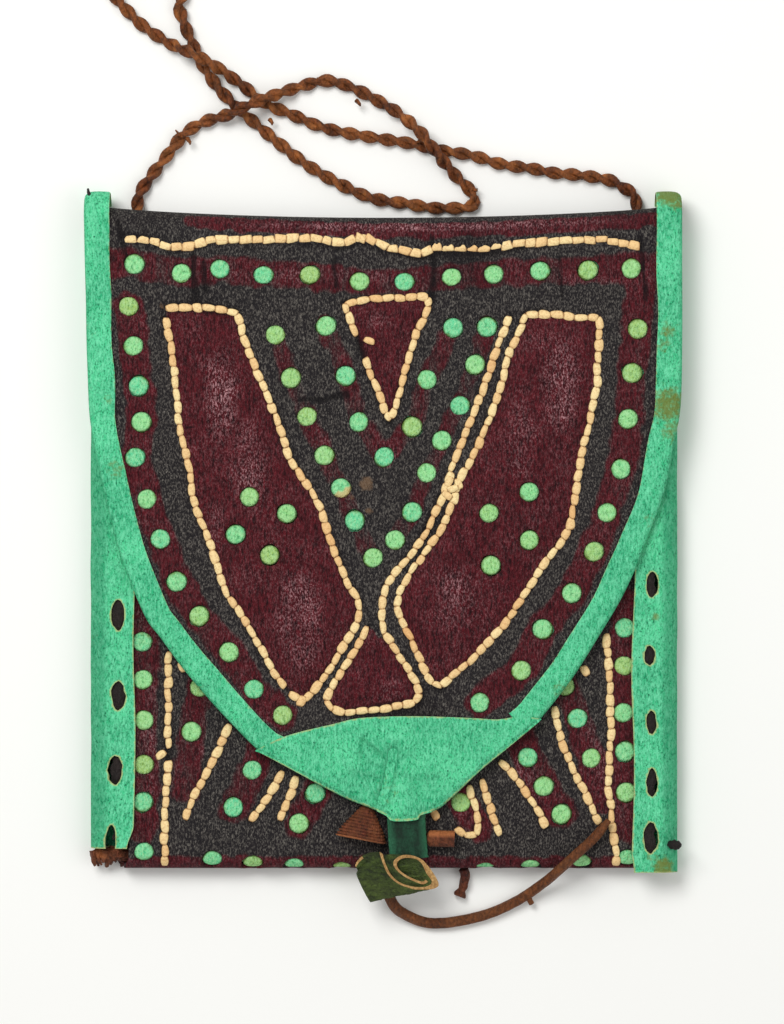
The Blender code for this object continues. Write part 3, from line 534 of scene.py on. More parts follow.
def makeTanStrip():
    material, tree, shader, place = startMaterial("tanStrip")
    grain = useTexture(tree, grainGroup, place, 2100.0, 1.0)
    color = mixColor(tree, attribute(tree, "tone"), toned(250, 226, 166), toned(226, 168, 104))
    color = mixColor(tree, count(tree, "MULTIPLY", grain["Pores"], 0.45), color, toned(196, 138, 84))
    color = wornTo(tree, place, "rim", 0.8, color, toned(150, 98, 52))
    finishMaterial(tree, shader, color, 0.6, grain["Height"], 0.00010, 0.35)
    return material


def makeBrown(name, dark, middle, pale, size=700.0, stretch=2.2, roughness=0.55, bumpDepth=0.0002):
    material, tree, shader, place = startMaterial(name)
    fibre = useTexture(tree, fibreGroup, place, size, stretch)
    grain = useTexture(tree, grainGroup, place, 1800.0, 1.0)
    color = mixColor(tree, fibre["Streaks"], dark, middle)
    color = mixColor(tree, count(tree, "MULTIPLY", fibre["Cloud"], 0.28), color, pale)
    color = mixColor(tree, count(tree, "MULTIPLY", grain["Pores"], 0.5), color, dark)
    # the edge attribute paints pale raw edges and paler strands, and on the toggle a painted highlight
    color = mixColor(tree, attribute(tree, "edge"), color, pale)
    height = count(tree, "ADD", grain["Height"], fibre["Streaks"])
    finishMaterial(tree, shader, color, roughness, height, bumpDepth, 0.2)
    return material


panelLeather = makePanelLeather()
greenLeather = makeGreenLeather()
greenDots = makeDotMaterial()
tanStrip = makeTanStrip()
cordLeather = makeBrown("cordLeather", toned(42, 19, 10), toned(120, 62, 28), toned(196, 122, 64),
                        size=520.0, stretch=1.6)
brownLeather = makeBrown("brownLeather", toned(36, 14, 12), toned(98, 46, 34), toned(190, 116, 70),
                         bumpDepth=0.0003)
thongLeather = makeBrown("thongLeather", toned(56, 28, 14), toned(118, 66, 34), toned(160, 102, 58))
blackThong = makeBrown("blackThong", toned(12, 9, 9), toned(30, 24, 23), toned(58, 42, 36))
oliveLeather = makeBrown("oliveLeather", toned(24, 32, 14), toned(68, 84, 34), toned(104, 118, 56),
                         size=800.0, stretch=0.6, bumpDepth=0.0003)
darkGreenLeather = makeBrown("darkGreenLeather", toned(5, 16, 10), toned(18, 48, 32),
                             toned(52, 118, 84), size=900.0, stretch=3.0)
rawEdge = makeBrown("rawEdge", toned(146, 104, 58), toned(206, 164, 104), toned(226, 190, 130))
print("materials done")

# cords: the same routes as the tubes of the frame, (across, down, height in metres)
cordFacts = {"diameter": 0.0032, "strand": 0.00175, "strandOffset": 0.00078, "twistLength": 0.0095,
             "exitAcross": (-0.0622, 0.0636), "exitHeight": 0.0026}
low = cordFacts["diameter"] / 2 + 0.00005
high = low + cordFacts["diameter"] + 0.0010
leftRoute = [
    (138, 192, 0.0019), (147, 177.6, low), (165.7, 153, low), (184, 130.6, low), (206.5, 118, low),
    (229, 112, 0.0037), (243, 106, high), (262, 98.5, high), (276, 93, 0.0037), (300, 83.7, low),
    (325, 78, low), (349, 83.7, low), (376, 97, low), (400, 112, 0.0030), (421, 131, 0.0050),
    (430, 143, high), (441, 157, 0.0047), (455, 173, 0.0022), (470, 188, low), (475, 199, low),
    (468, 205.5, low), (452, 206, low), (431, 205.5, low), (404.5, 201, low), (386, 199, low),
    (365.7, 194, low), (335, 179.6, low), (304.5, 161, low), (276, 139, low), (253.5, 120, low),
    (231, 100, low), (212.7, 79.6, low), (198, 55, low), (188, 32.7, low), (180, 12, low),
    (178, 0, low), (190, -22, low), (210, -40, low), (220, -51, low)]
rightRoute = [
    (636, 193, 0.0019), (625, 185.7, low), (610.6, 178, low), (584, 173.5, low), (555.5, 171, low),
    (531, 166, low), (502.4, 162, low), (472, 153, low), (441, 148, low), (410.6, 141, low),
    (365.7, 133.7, low), (325, 125.5, low), (294, 113, low), (263.7, 100, low), (243, 83.7, low),
    (231, 75, 0.0024), (219, 67, 0.0041), (206, 60, high), (194, 53, high), (180, 46, 0.0036),
    (165.7, 38.8, low), (141, 22.4, low), (118.8, 0, low), (103, -20, low), (93, -38, low),
    (89.5, -49, low)]
coilFacts = {"centre": (150, -112), "middleRadius": 0.0165, "turns": 5.5}


def spots3d(route):
    return [Vector((*at(across, down), height)) for across, down, height in route]


def cordStart(across):
    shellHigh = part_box("pouch_shell")[1]
    foldTop = shellHigh.y
    foldStart = foldTop - 0.00565
    innerHeight = 0.0012 + cordFacts["diameter"] / 2 + 0.0006
    return [Vector((across, foldStart - 0.0018, innerHeight)),
            Vector((across, foldStart + 0.0004, innerHeight)),
            Vector((across, foldTop - 0.0020, cordFacts["exitHeight"])),
            Vector((across, foldTop, cordFacts["exitHeight"]))]


def coilPoints():
    # turns lie beside and on each other: (radius step, layer) of each turn
    f = coilFacts
    step = cordFacts["diameter"] / 2 + 0.00005
    seats = [(1, 0), (-1, 0), (-1, 1), (1, 1), (-1, 2), (1, 2)]
    x, y = at(*f["centre"])
    points = []
    perTurn = 40
    for index in range(int(f["turns"] * perTurn) + 1):
        turn = index / perTurn
        now = seats[min(int(turn), 5)]
        following = seats[min(int(turn) + 1, 5)]
        share = min(max((turn % 1 - 0.85) / 0.15, 0), 1)
        share = share * share * (3 - 2 * share)
        if turn >= 5:
            share = 0
        radius = f["middleRadius"] + step * (now[0] + (following[0] - now[0]) * share)
        layer = now[1] + (following[1] - now[1]) * share
        angle = 2 * math.pi * turn
        points.append(Vector((x + radius * math.cos(angle), y + radius * math.sin(angle),
                              low + layer * cordFacts["diameter"])))
    return points


def frames(points):
    # a side and an up direction that turn as little as possible along a line
    sides = []
    side = Vector((0, 0, 1)).cross(points[1] - points[0]).normalized()
    for index, point in enumerate(points):
        along = points[min(index + 1, len(points) - 1)] - points[max(index - 1, 0)]
        along.normalize()
        side = (side - along * side.dot(along)).normalized()
        sides.append((along, side, along.cross(side)))
    return sides


def sweep(name, points, radiusAt, sidesAround, offsetAt=None):
    # a closed tube along a line; the offset makes it a strand of a twist
    rings = []
    for index, (point, (along, side, up)) in enumerate(zip(points, frames(points))):
        centre = point
        if offsetAt:
            angle, reach = offsetAt(index)
            centre = point + (side * math.cos(angle) + up * math.sin(angle)) * reach
        ring = []
        for corner in range(sidesAround):
            angle = angleOf(corner, sidesAround)
            radius = radiusAt(index, corner)
            ring.append(centre + (side * math.cos(angle) + up * math.sin(angle)) * radius)
        rings.append(ring)
    verts = [p for ring in rings for p in ring]
    return meshPiece(name, verts, tubeFaces(len(rings), sidesAround))


# small frayed barbs that stand out of the cord: from, to
cordBarbs = [(178, 134, 172, 124), (186, 136, 191, 147), (356, 98, 363, 108), (269, 117, 273, 127),
             (343, 182, 338, 175), (474, 188, 480, 186), (436, 202, 442, 208), (205, 55, 200, 48),
             (583, 176, 580, 168), (420, 138, 414, 142), (318, 80, 316, 72)]


def makeKnot(word):
    # a tight overhand knot that keeps the cord's end inside the pouch
    low3, high3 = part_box("stopper_knot_" + word)
    middle, half = (low3 + high3) / 2, (high3 - low3) / 2
    thick = 0.00078
    turns = []
    for index in range(96):
        angle = 2 * math.pi * index / 96
        x = (math.sin(angle) + 2 * math.sin(2 * angle)) / 3
        y = (math.cos(angle) - 2 * math.cos(2 * angle)) / 3
        turns.append(Vector((middle.x + x * (half.x - thick), middle.y + y * (half.y - thick),
                             middle.z - math.sin(3 * angle) * (half.z - thick))))
    knot = sweep("knot" + word.title(), turns, lambda index, corner: thick, 9)
    fixNormals(knot)
    paintPlain(knot, "edge")
    knot.data.materials.append(cordLeather)
    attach(knot, "pouch")
    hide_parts("stopper_knot_" + word)
    return knot


def makeShoulderCord():
    f = cordFacts
    left = cordStart(f["exitAcross"][0]) + spots3d(leftRoute)
    right = cordStart(f["exitAcross"][1]) + spots3d(rightRoute)
    path = smoothLine(left + coilPoints() + list(reversed(right)), 0.0009)
    spots = np.array([tuple(point) for point in path])
    walked = np.concatenate([[0], np.cumsum(np.linalg.norm(np.diff(spots, axis=0), axis=1))])
    strands = []
    for strand in range(2):
        roughness = [1 + 0.26 * noise.noise(Vector((w * 200, strand * 9, 0))) for w in walked]

        def offsetAt(index, strand=strand):
            return 2 * math.pi * walked[index] / f["twistLength"] + strand * math.pi, f["strandOffset"]

        def radiusAt(index, corner, roughness=roughness):
            flat = 0.86 + 0.14 * abs(math.cos(angleOf(corner, 8)))
            return f["strand"] / 2 * roughness[index] * flat * 1.05

        strands.append(sweep("strand", path, radiusAt, 8, offsetAt))
    for across, down, endAcross, endDown in cordBarbs:
        start = Vector((*at(across, down), 0.0026))
        finish = start.lerp(Vector((*at(endAcross, endDown), 0.0034)), 0.60)
        bend = (start + finish) / 2 + Vector((0.0004, -0.0003, 0.0005))
        strands.append(sweep("barb", [start, bend, finish],
                             lambda index, corner: 0.00055 * (1.1 - 0.38 * index), 6))
    cord = joinPieces(strands, "shoulderCord")
    fixNormals(cord)
    array = pointsOf(cord)
    paint(cord, "edge", 0.5 * smoothStep(0.25, 0.6, waves(array, 420, 1.3)))
    cord.data.materials.append(cordLeather)
    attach(cord, "pouch")
    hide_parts("shoulder_cord_left", "shoulder_cord_right", "cord_coil")
    makeKnot("left")
    makeKnot("right")
    return cord


shoulderCord = makeShoulderCord()

# ornament of the drawing, (across, down)
flapDots = [
    (134.7, 264.7), (181.6, 273), (220, 268), (263.7, 274), (310, 273.5), (359.6, 280.6),
    (404.5, 281), (451.4, 276), (493.7, 273), (540, 270), (587.8, 270), (631, 269),
    (129, 306.5), (133.5, 346), (139, 386), (141.6, 422), (135.4, 457.4), (147, 499),
    (160.4, 539), (176.8, 581.5), (199.4, 616), (229, 652), (254, 689), (282.7, 715),
    (637.5, 329), (632, 373), (627.8, 419), (620.6, 469), (606.8, 512.6), (593.8, 551.6),
    (571.6, 593), (542.5, 629), (521, 670.4), (479.7, 702.4),
    (275.5, 335), (326, 326), (291, 378), (345.7, 376), (307, 416.5), (358.7, 422),
    (453, 328), (487, 327), (475, 364.7), (427, 379.6), (460, 405.5), (441.7, 440.6),
    (412, 426.8), (324.5, 455.4), (384, 457), (426.6, 472.7), (341, 488), (412, 512),
    (354.8, 520.5), (395, 540), (373, 557.7),
    (249.7, 497), (287, 513.6), (236, 534.3), (270, 555),
    (529, 492), (489, 513), (529, 540), (490.7, 565.4)]
frontDots = [
    (141.6, 642), (142.5, 680), (143.4, 720.5), (143.4, 765), (142.5, 802.7), (191, 732),
    (199.6, 687.5), (251.8, 770.5), (233, 807.7), (298.8, 824), (315, 793.8), (625, 628),
    (624.6, 666), (623.6, 713), (625.5, 752), (626.5, 793), (577.7, 718.7), (591.5, 758.5),
    (528, 758), (544, 786.6), (561.8, 814.7), (565, 686), (461, 803)]
foldDots = [(143.4, 853), (212, 861), (252.7, 865), (294, 867), (342, 869), (485, 869), (530, 868),
            (581.5, 864), (628, 860)]
leftLeafOutline = [
    (166, 308), (200, 308), (237, 313), (243, 335), (253.5, 363.7), (263.7, 386), (277, 420),
    (283.7, 441), (291, 461), (299, 472), (313.8, 496.5), (323, 515), (329, 537.8),
    (338, 559), (346, 580.7), (359.7, 602), (357, 621.4), (345.7, 643), (331.4, 666),
    (311, 693), (302, 701), (290, 691), (277, 676.8), (260, 646.4), (248, 625), (239, 611),
    (224, 588.4), (213, 550), (202.5, 525.6), (191.8, 495), (190.6, 476.6), (180, 427.6),
    (178, 410), (175, 374), (170.8, 343), (165.5, 319)]
rightLeafOutline = [
    (526, 315), (547, 314), (580, 318), (599, 318), (597, 357.5), (597, 384), (590, 420),
    (584, 443), (579.5, 466), (575, 492), (572, 516.4), (567, 533), (553.5, 551.6),
    (539.7, 570), (527.5, 590), (513.7, 611), (501.4, 628), (492.5, 638), (471.5, 659),
    (456, 672), (440, 688), (429.6, 678.6), (420.7, 662.5), (411.8, 641), (401, 621),
    (396.5, 605), (405.7, 579), (416, 565), (427, 550), (437.8, 534.8), (447, 516.4),
    (455, 496), (460, 479), (473, 456.7), (480, 439.8), (488, 421.4), (495.5, 404.6),
    (501.5, 384), (509, 353.5), (516, 339), (522, 325)]
keystoneLine = [
    (368, 626.8), (360, 643), (349, 660.7), (336.8, 680), (326, 701), (338.6, 713),
    (360, 711), (385, 708), (406, 705), (418, 702), (420, 691), (415, 680), (403, 660.7),
    (392, 644.6), (384, 632), (381.4, 617.9), (383.5, 599), (387, 583.8), (395, 573),
    (404, 564), (418, 545.5), (428.6, 527), (437.8, 507), (444.7, 492), (452, 467.4),
    (460, 447.5), (467, 430.6), (474.5, 413), (482.5, 390), (490.5, 367.8), (501, 337),
    (510, 317)]
triangleOutline = [
    (345, 304), (365.7, 300.4), (396, 298), (428, 297), (429, 306), (418.8, 327),
    (411.6, 349.4), (404.5, 374), (397, 403), (390, 422), (383, 404), (374, 382),
    (365.7, 361.6), (357.6, 337), (348, 315)]
topLine = [
    (124, 239), (147, 240), (170, 247), (194, 246), (210.6, 240), (243, 240), (284, 239),
    (323, 239), (341, 244), (361.6, 237), (382, 246), (400, 250), (419, 254.5), (435, 247),
    (466, 248), (494, 247), (527, 243), (564, 241), (604.5, 240), (639, 247)]
frontLines = {
    "front_stitch_left_edge": [(169, 652), (167.5, 671), (168, 693), (168, 718), (168, 742),
                               (168, 766), (165.7, 793), (165, 814), (164, 832), (164.5, 850), (165, 866)],
    "front_stitch_left_leaf": [(230, 725), (221, 743), (214, 759), (205, 775), (194, 796),
                               (183.6, 819.6)],
    "front_stitch_left_inner": [(281.8, 771.4), (271, 793), (260, 809), (249.6, 821)],
    "front_stitch_left_short": [(297, 777), (289, 798), (280, 821)],
    "front_stitch_right_leaf": [(553.8, 707), (559.5, 734), (570, 761), (582.5, 787.6),
                                (592, 806.7), (599.7, 824)],
    "front_stitch_right_edge": [(607, 634), (608, 653.6), (610, 680), (611, 707), (611, 734),
                                (610, 761), (609, 783.7), (611, 810.5), (613, 830), (616, 850),
                                (617, 866)],
    "front_stitch_right_inner": [(500, 761), (511.7, 772), (523, 787.6), (536.6, 808.6),
                                 (546, 827.8)],
    "front_stitch_right_short": [(481, 780), (486.8, 795), (492.5, 816), (501, 835.4)],
    "front_stitch_hook": [(469, 786), (474, 803), (479, 822), (477, 836), (466, 837),
                          (457, 827.7)]}
flapEdgeLeft = [(84, 193), (86, 300), (88.5, 400), (95, 448), (104.5, 492), (120, 553), (144, 614),
                (161, 638), (185, 671), (216, 707), (256, 748)]
flapEdgeRight = [(682, 186), (682, 300), (681, 400), (673, 446), (664, 492), (647, 538), (636, 568),
                 (621, 599), (600, 634), (573, 677), (541, 718)]
tipEdge = [(263, 754), (287, 767), (322, 786), (349, 801), (388, 817), (418, 814), (447, 802),
           (481, 770), (504, 751), (534, 726)]
tipTop = [(280, 738), (302, 731), (332, 724), (358, 718), (394, 716), (426, 716), (455, 717),
          (478, 718), (498, 719), (521, 716)]

# heights and folds that the frame gives
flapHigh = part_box("flap")[1]
shellLow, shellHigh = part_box("pouch_shell")
liningLow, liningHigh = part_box("flap_lining")
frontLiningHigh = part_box("front_lining")[1]
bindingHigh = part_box("flap_binding_left")[1]
leather = 0.0012
flapTop = flapHigh.z
hinge = Vector(frame["joints"][0]["pos_m"])
foldRadius = hinge.z - 0.00015
foldStart = shellHigh.y - foldRadius
frontTop = shellHigh.z
bottomRadius = frontTop / 2
bottomStart = shellLow.y + bottomRadius


def makeSlab(name, lowCorner, highCorner, thickness, spacing):
    # a dense flat sheet of leather, its upper side at height 0
    width, length = highCorner[0] - lowCorner[0], highCorner[1] - lowCorner[1]
    middle = ((highCorner[0] + lowCorner[0]) / 2, (highCorner[1] + lowCorner[1]) / 2, 0)
    clearSelection()
    bpy.ops.mesh.primitive_grid_add(x_subdivisions=round(width / spacing),
                                    y_subdivisions=round(length / spacing), size=1, location=middle)
    slab = bpy.context.object
    slab.name = name
    slab.scale = (width, length, 1)
    bpy.ops.object.transform_apply(location=True, rotation=True, scale=True)
    wall = slab.modifiers.new("wall", "SOLIDIFY")
    wall.thickness = thickness
    wall.offset = -1
    applyAll(slab)
    return slab


def cutWith(piece, cutter, operation):
    cut = piece.modifiers.new("cut", "BOOLEAN")
    cut.operation = operation
    cut.object = cutter
    applyAll(piece)
    bpy.data.objects.remove(cutter)


def outlineCutter(outline):
    corners, reach = len(outline), 0.01
    verts = [(x, y, -reach) for x, y in outline] + [(x, y, reach) for x, y in outline]
    faces = [list(range(corners)), list(range(corners, 2 * corners))]
    faces += [[i, (i + 1) % corners, corners + (i + 1) % corners, corners + i] for i in range(corners)]
    cutter = meshPiece("outlineCutter", verts, faces, smooth=False)
    fixNormals(cutter)
    return cutter


def outlinedSheet(name, outline, thickness, spacing):
    across, along = [point[0] for point in outline], [point[1] for point in outline]
    sheet = makeSlab(name, (min(across) - mm, min(along) - mm), (max(across) + mm, max(along) + mm),
                     thickness, spacing)
    cutWith(sheet, outlineCutter(outline), "INTERSECT")
    return sheet


def punchCutter(places, diameter):
    punches = []
    for index, (x, y) in enumerate(places):
        clearSelection()
        size = diameter / 2 * (1 + 0.04 * math.sin(index * 5.1))
        bpy.ops.mesh.primitive_cylinder_add(vertices=26, radius=size, depth=0.02, location=(x, y, 0),
                                            rotation=(0, 0, index))
        punch = bpy.context.object
        punch.scale = (1.03 + 0.03 * math.sin(index * 3.3), 0.97 + 0.02 * math.sin(index * 7.7), 1)
        for vertex in punch.data.vertices:
            turn = math.atan2(vertex.co.y, vertex.co.x)
            vertex.co *= 1 + 0.022 * math.sin(5 * turn + index) + 0.016 * math.sin(9 * turn + 2 * index)
        punches.append(punch)
    cutter = joinPieces(punches, "punchCutter")
    bpy.ops.object.transform_apply(location=True, rotation=True, scale=True)
    return cutter


def insetLine(points, distance):
    moved = []
    for index, point in enumerate(points):
        before = Vector(points[max(index - 1, 0)])
        after = Vector(points[min(index + 1, len(points) - 1)])
        along = (after - before).normalized()
        moved.append((point[0] + along.y * distance, point[1] - along.x * distance))
    return moved


# how the flap's leather rises and falls
puffSettings = {"leafHeight": 0.0011, "leafReach": 0.007, "groove": 0.0005, "grooveReach": 0.0012,
                "wave": 0.0005, "waveScale": 38, "crease": 0.00020, "lip": 0.00018}
leaves = [atAll(leftLeafOutline), atAll(rightLeafOutline), atAll(triangleOutline),
          atAll(keystoneLine[:14])]
flapStitches = {"stitch_top": topLine, "stitch_left_leaf": leftLeafOutline,
                "stitch_right_leaf": rightLeafOutline, "stitch_keystone": keystoneLine,
                "stitch_triangle": triangleOutline}


def flapRise(flat):
    # flat: points (x, y) on the lying flap; returns how far the leather rises there
    s = puffSettings
    rise = np.zeros(len(flat))
    for leaf in leaves:
        inside = insideOutline(flat, leaf)
        gap = distanceToLine(flat, leaf + leaf[:1])
        rise += np.where(inside, s["leafHeight"] * smoothStep(0.0, s["leafReach"], gap), 0)
    gap = gapToLines(flat, [atAll(line) for line in flapStitches.values()])
    rise -= s["groove"] * np.exp(-(gap / s["grooveReach"]) ** 2)
    awayFromSides = smoothStep(0.074, 0.060, np.abs(flat[:, 0]))
    rise += s["wave"] * waves(onGround(flat), s["waveScale"], 3.7) * awayFromSides
    folds = np.abs(waves(onGround(flat * (3.2, 0.9)), 95, 8.1))
    rise += s["crease"] * (1 - np.clip(folds * 5, 0, 1)) * np.clip(rise * 1400, 0.25, 1)
    return rise


def dyeField(flat, maroonOutlines, maroonLines):
    # 1 where the leather was left maroon, 0 where it was dyed black
    noiseShift = waves(onGround(flat), 330, 2.2) * 0.0009
    dye = np.zeros(len(flat))
    for outline in maroonOutlines:
        inside = insideOutline(flat, outline)
        gap = distanceToLine(flat, outline + outline[:1]) * np.where(inside, 1, -1)
        dye = np.maximum(dye, smoothStep(-0.0006, 0.0008, gap + noiseShift))
    for line, halfWidth, strength in maroonLines:
        gap = distanceToLine(flat, line)
        dye = np.maximum(dye, strength * (1 - smoothStep(halfWidth * 0.75, halfWidth * 1.25,
                                                         gap + noiseShift)))
    return dye


maroonLines = [
    (atAll([(112, 264)] + flapDots[0:12] + [(655, 268)]), 15 * unit, 0.75),
    (atAll(flapDots[12:24]), 15 * unit, 0.9),
    (atAll([(640, 290)] + flapDots[24:34]), 15 * unit, 0.9),
    (atAll([(275.5, 335), (291, 378), (307, 416.5), (324.5, 455.4), (341, 488), (354.8, 520.5),
            (373, 557.7)]), 9 * unit, 0.55),
    (atAll([(487, 327), (475, 364.7), (460, 405.5), (441.7, 440.6), (426.6, 472.7), (412, 512),
            (395, 540)]), 9 * unit, 0.55),
    (atAll([(326, 326), (345.7, 376), (358.7, 422), (384, 457), (412, 426.8), (427, 379.6),
            (453, 328)]), 10 * unit, 0.6),
    (atAll([(190, 217), (400, 224), (660, 220)]), 9 * unit, 0.9)]
# painted sheen, and along the top fold a paler worn strip: across, down, reach across, reach down, strength
sheenAndWearSpots = [
    (222, 395, 20, 55, 0.9), (250, 470, 26, 60, 0.55), (300, 620, 28, 60, 0.8),
    (215, 530, 14, 40, 0.4), (560, 385, 24, 55, 0.8), (520, 440, 22, 50, 0.5), (455, 600, 26, 45, 0.6),
    (540, 340, 34, 16, 0.4), (380, 322, 22, 14, 0.35), (395, 690, 20, 20, 0.35),
    (430, 219, 210, 7, 0.9), (300, 275, 160, 12, 0.4), (385, 480, 26, 40, 0.55),
    (330, 440, 20, 40, 0.4), (560, 285, 80, 14, 0.4), (210, 760, 16, 50, 0.5), (520, 790, 30, 40, 0.5),
    (150, 740, 12, 90, 0.4), (600, 740, 20, 90, 0.4)]
scuffSpots = [(366, 483.5, 9, 1.0), (369, 511, 5, 0.8), (352, 497, 4, 0.6), (162, 306, 5, 0.5)]
frontMaroonLines = [
    (atAll([(142, 600), (143, 680), (143, 830)]), 15 * unit, 0.8),
    (atAll([(625, 600), (624, 700), (627, 830)]), 14 * unit, 0.8),
    (atAll([(205, 670), (191, 732), (186, 790)]), 14 * unit, 0.8),
    (atAll([(262, 750), (252, 770), (233, 808)]), 16 * unit, 0.8),
    (atAll([(322, 780), (299, 824)]), 15 * unit, 0.8),
    (atAll([(560, 670), (578, 719), (592, 759), (600, 800)]), 14 * unit, 0.8),
    (atAll([(515, 730), (528, 758), (544, 787), (562, 815)]), 16 * unit, 0.8),
    (atAll([(455, 790), (463, 806), (480, 830)]), 14 * unit, 0.8),
    (atAll([(130, 866), (640, 866)]), 9 * unit, 0.9)]


# short creases of the flap's leather: points, depth
flapCreases = [
    ([(193, 255), (196, 303)], 1.0), ([(204, 262), (206, 290)], 0.7), ([(334, 256), (336, 286)], 0.6),
    ([(431, 232), (434, 262), (432, 300)], 1.0), ([(560, 255), (562, 300)], 0.5),
    ([(118, 225), (127, 260)], 0.6), ([(226, 345), (221, 372), (224, 400)], 0.7),
    ([(212, 352), (208, 392)], 0.5), ([(236, 352), (238, 400)], 0.6),
    ([(188, 428), (208, 424), (216, 432)], 0.8), ([(191, 440), (205, 432)], 0.6),
    ([(250, 400), (254, 446)], 0.5), ([(545, 345), (550, 405)], 0.6), ([(566, 350), (560, 420)], 0.7),
    ([(528, 372), (520, 430)], 0.5), ([(500, 462), (536, 476)], 0.5), ([(300, 560), (322, 612)], 0.4),
    ([(282, 600), (300, 655)], 0.5), ([(318, 402), (348, 392)], 0.5), ([(470, 600), (452, 640)], 0.5),
    ([(300, 400), (348, 396)], 0.4), ([(640, 240), (646, 300)], 0.6)]


def creaseDepth(flat):
    depth = np.zeros(len(flat))
    for line, strength in flapCreases:
        depth = np.maximum(depth, strength * np.exp(-(distanceToLine(flat, atAll(line)) / 0.00055) ** 2))
    return depth


def paintPanel(sheet, flat, dye, rise, spots=()):
    paint(sheet, "dye", dye)
    # the rise, also read by the material for the painted shade in grooves, creases and hole rims
    paint(sheet, "rise", np.clip((rise + 0.0005) / 0.0020, 0, 1))
    # paler where the listed spots lie: painted sheen, and along the top fold a worn strip
    sheenAndWear, scuff = np.full(len(flat), 0.16), np.zeros(len(flat))
    for across, down, reachAcross, reachDown, strength in sheenAndWearSpots:
        x, y = at(across, down)
        gap = np.hypot((flat[:, 0] - x) / reachAcross, (flat[:, 1] - y) / reachDown) / unit
        sheenAndWear = np.maximum(sheenAndWear, strength * smoothStep(1.3, 0.2, gap))
    for across, down, reach, strength in spots:
        gap = np.linalg.norm(flat - np.array(at(across, down)), axis=1) / unit
        scuff = np.maximum(scuff, strength * smoothStep(reach * 1.3, reach * 0.3, gap))
    paint(sheet, "sheenAndWear", sheenAndWear * (1 + 0.9 * waves(onGround(flat), 150, 7.7)))
    paint(sheet, "scuff", scuff)


def finishLook(piece, angle=50):
    piece.data.shade_smooth()
    pick(piece)
    bpy.ops.object.shade_smooth_by_angle(angle=math.radians(angle))


def dress(piece, material, angle=50):
    piece.data.materials.clear()
    piece.data.materials.append(material)
    finishLook(piece, angle)


def rideAndReplace(piece, body, *replaced):
    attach(piece, body)
    if replaced:
        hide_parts(*replaced)


def overTheFold(piece, *replaced):
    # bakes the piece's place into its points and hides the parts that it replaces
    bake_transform(piece)
    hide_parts(*replaced)


foldGap = 0.0003       # between the flap's round and the back's round
foldHalf = 0.0700
# the green domes in the punched holes
dotSettings = {"hole": 0.0052, "around": 20, "rings": 6, "reach": 0.00280, "topDepth": 0.00030,
               "intoLining": 0.0002}
liningSpacing = 0.0016


def flapOutline(distance):
    # the flap's edge moved inwards, from its top left corner round the tip
    edge = atAll(flapEdgeLeft) + atAll(tipEdge) + atAll(reversed(flapEdgeRight))
    return insetLine(edge, -distance)


def placeFlap(across, along, depth):
    # unrolled flap to its place; depth goes in from the outer side
    run = along - foldStart
    turn = np.clip(run / foldRadius, 0, math.pi)
    radius = foldRadius - depth
    centre = flapTop - foldRadius - foldGap * turn / math.pi
    y = np.where(run <= 0, along, foldStart + radius * np.sin(turn))
    z = centre + radius * np.cos(turn)
    sag = -0.0011 + 0.0028 * np.cos(np.clip(across / foldHalf, -1, 1) * math.pi / 2) ** 0.7
    share = smoothStep(foldStart - 0.016, foldStart + 0.003, along) * smoothStep(math.pi, 1.9, turn)
    return np.column_stack([across, y - sag * share, z])


def placeShell(across, along, depth):
    # unrolled shell: front panel down, bottom fold, back panel up
    run = bottomStart - along
    turn = np.clip(run / bottomRadius, 0, math.pi)
    radius = bottomRadius - depth
    up = np.clip(run - math.pi * bottomRadius, 0, None)
    y = np.where(run <= 0, along, bottomStart - radius * np.sin(turn) + up)
    return np.column_stack([across, y, bottomRadius + radius * np.cos(turn)])


def gapToPlaces(flat, places):
    gap = np.full(len(flat), 1e9)
    for place in places:
        gap = np.minimum(gap, np.linalg.norm(flat - np.array(place), axis=1))
    return gap


def holeLip(gap, depth):
    # a soft raised ring round each punched hole, rounded off at its rim
    raised = puffSettings["lip"] * np.exp(-((gap - 0.0031) / 0.0006) ** 2)
    return raised - 0.00025 * np.exp(-((gap - 0.0026) / 0.0003) ** 2) * (depth < 0.0002)


def makeFlap():
    edge = [point for point in flapOutline(0.0020) if point[1] < foldStart - leather]
    roundLength = math.pi * foldRadius
    shoulder = foldStart - leather
    outline = [(-foldHalf, foldStart + roundLength), (-foldHalf, foldStart), (edge[0][0], shoulder),
               *edge, (edge[-1][0], shoulder), (foldHalf, foldStart),
               (foldHalf, foldStart + roundLength)]
    sheet = outlinedSheet("flapLeather", outline, leather, 0.00066)
    cutWith(sheet, punchCutter(atAll(flapDots), dotSettings["hole"]), "DIFFERENCE")
    points = pointsOf(sheet)
    flat, depth = points[:, :2].copy(), -points[:, 2]
    creases = creaseDepth(flat)
    rise = flapRise(flat) + holeLip(gapToPlaces(flat, atAll(flapDots)), depth) - 0.0003 * creases
    # the creases are painted deeper than they are cut, for more painted shade in them
    paintPanel(sheet, flat, dyeField(flat, leaves, maroonLines), rise - 0.0012 * creases, scuffSpots)
    rise *= smoothStep(0, 0.006, foldStart - flat[:, 1])
    setPoints(sheet, placeFlap(flat[:, 0], flat[:, 1], depth - rise))
    dress(sheet, panelLeather)
    overTheFold(sheet, "flap")
    print("flap done,", len(sheet.data.polygons), "faces")


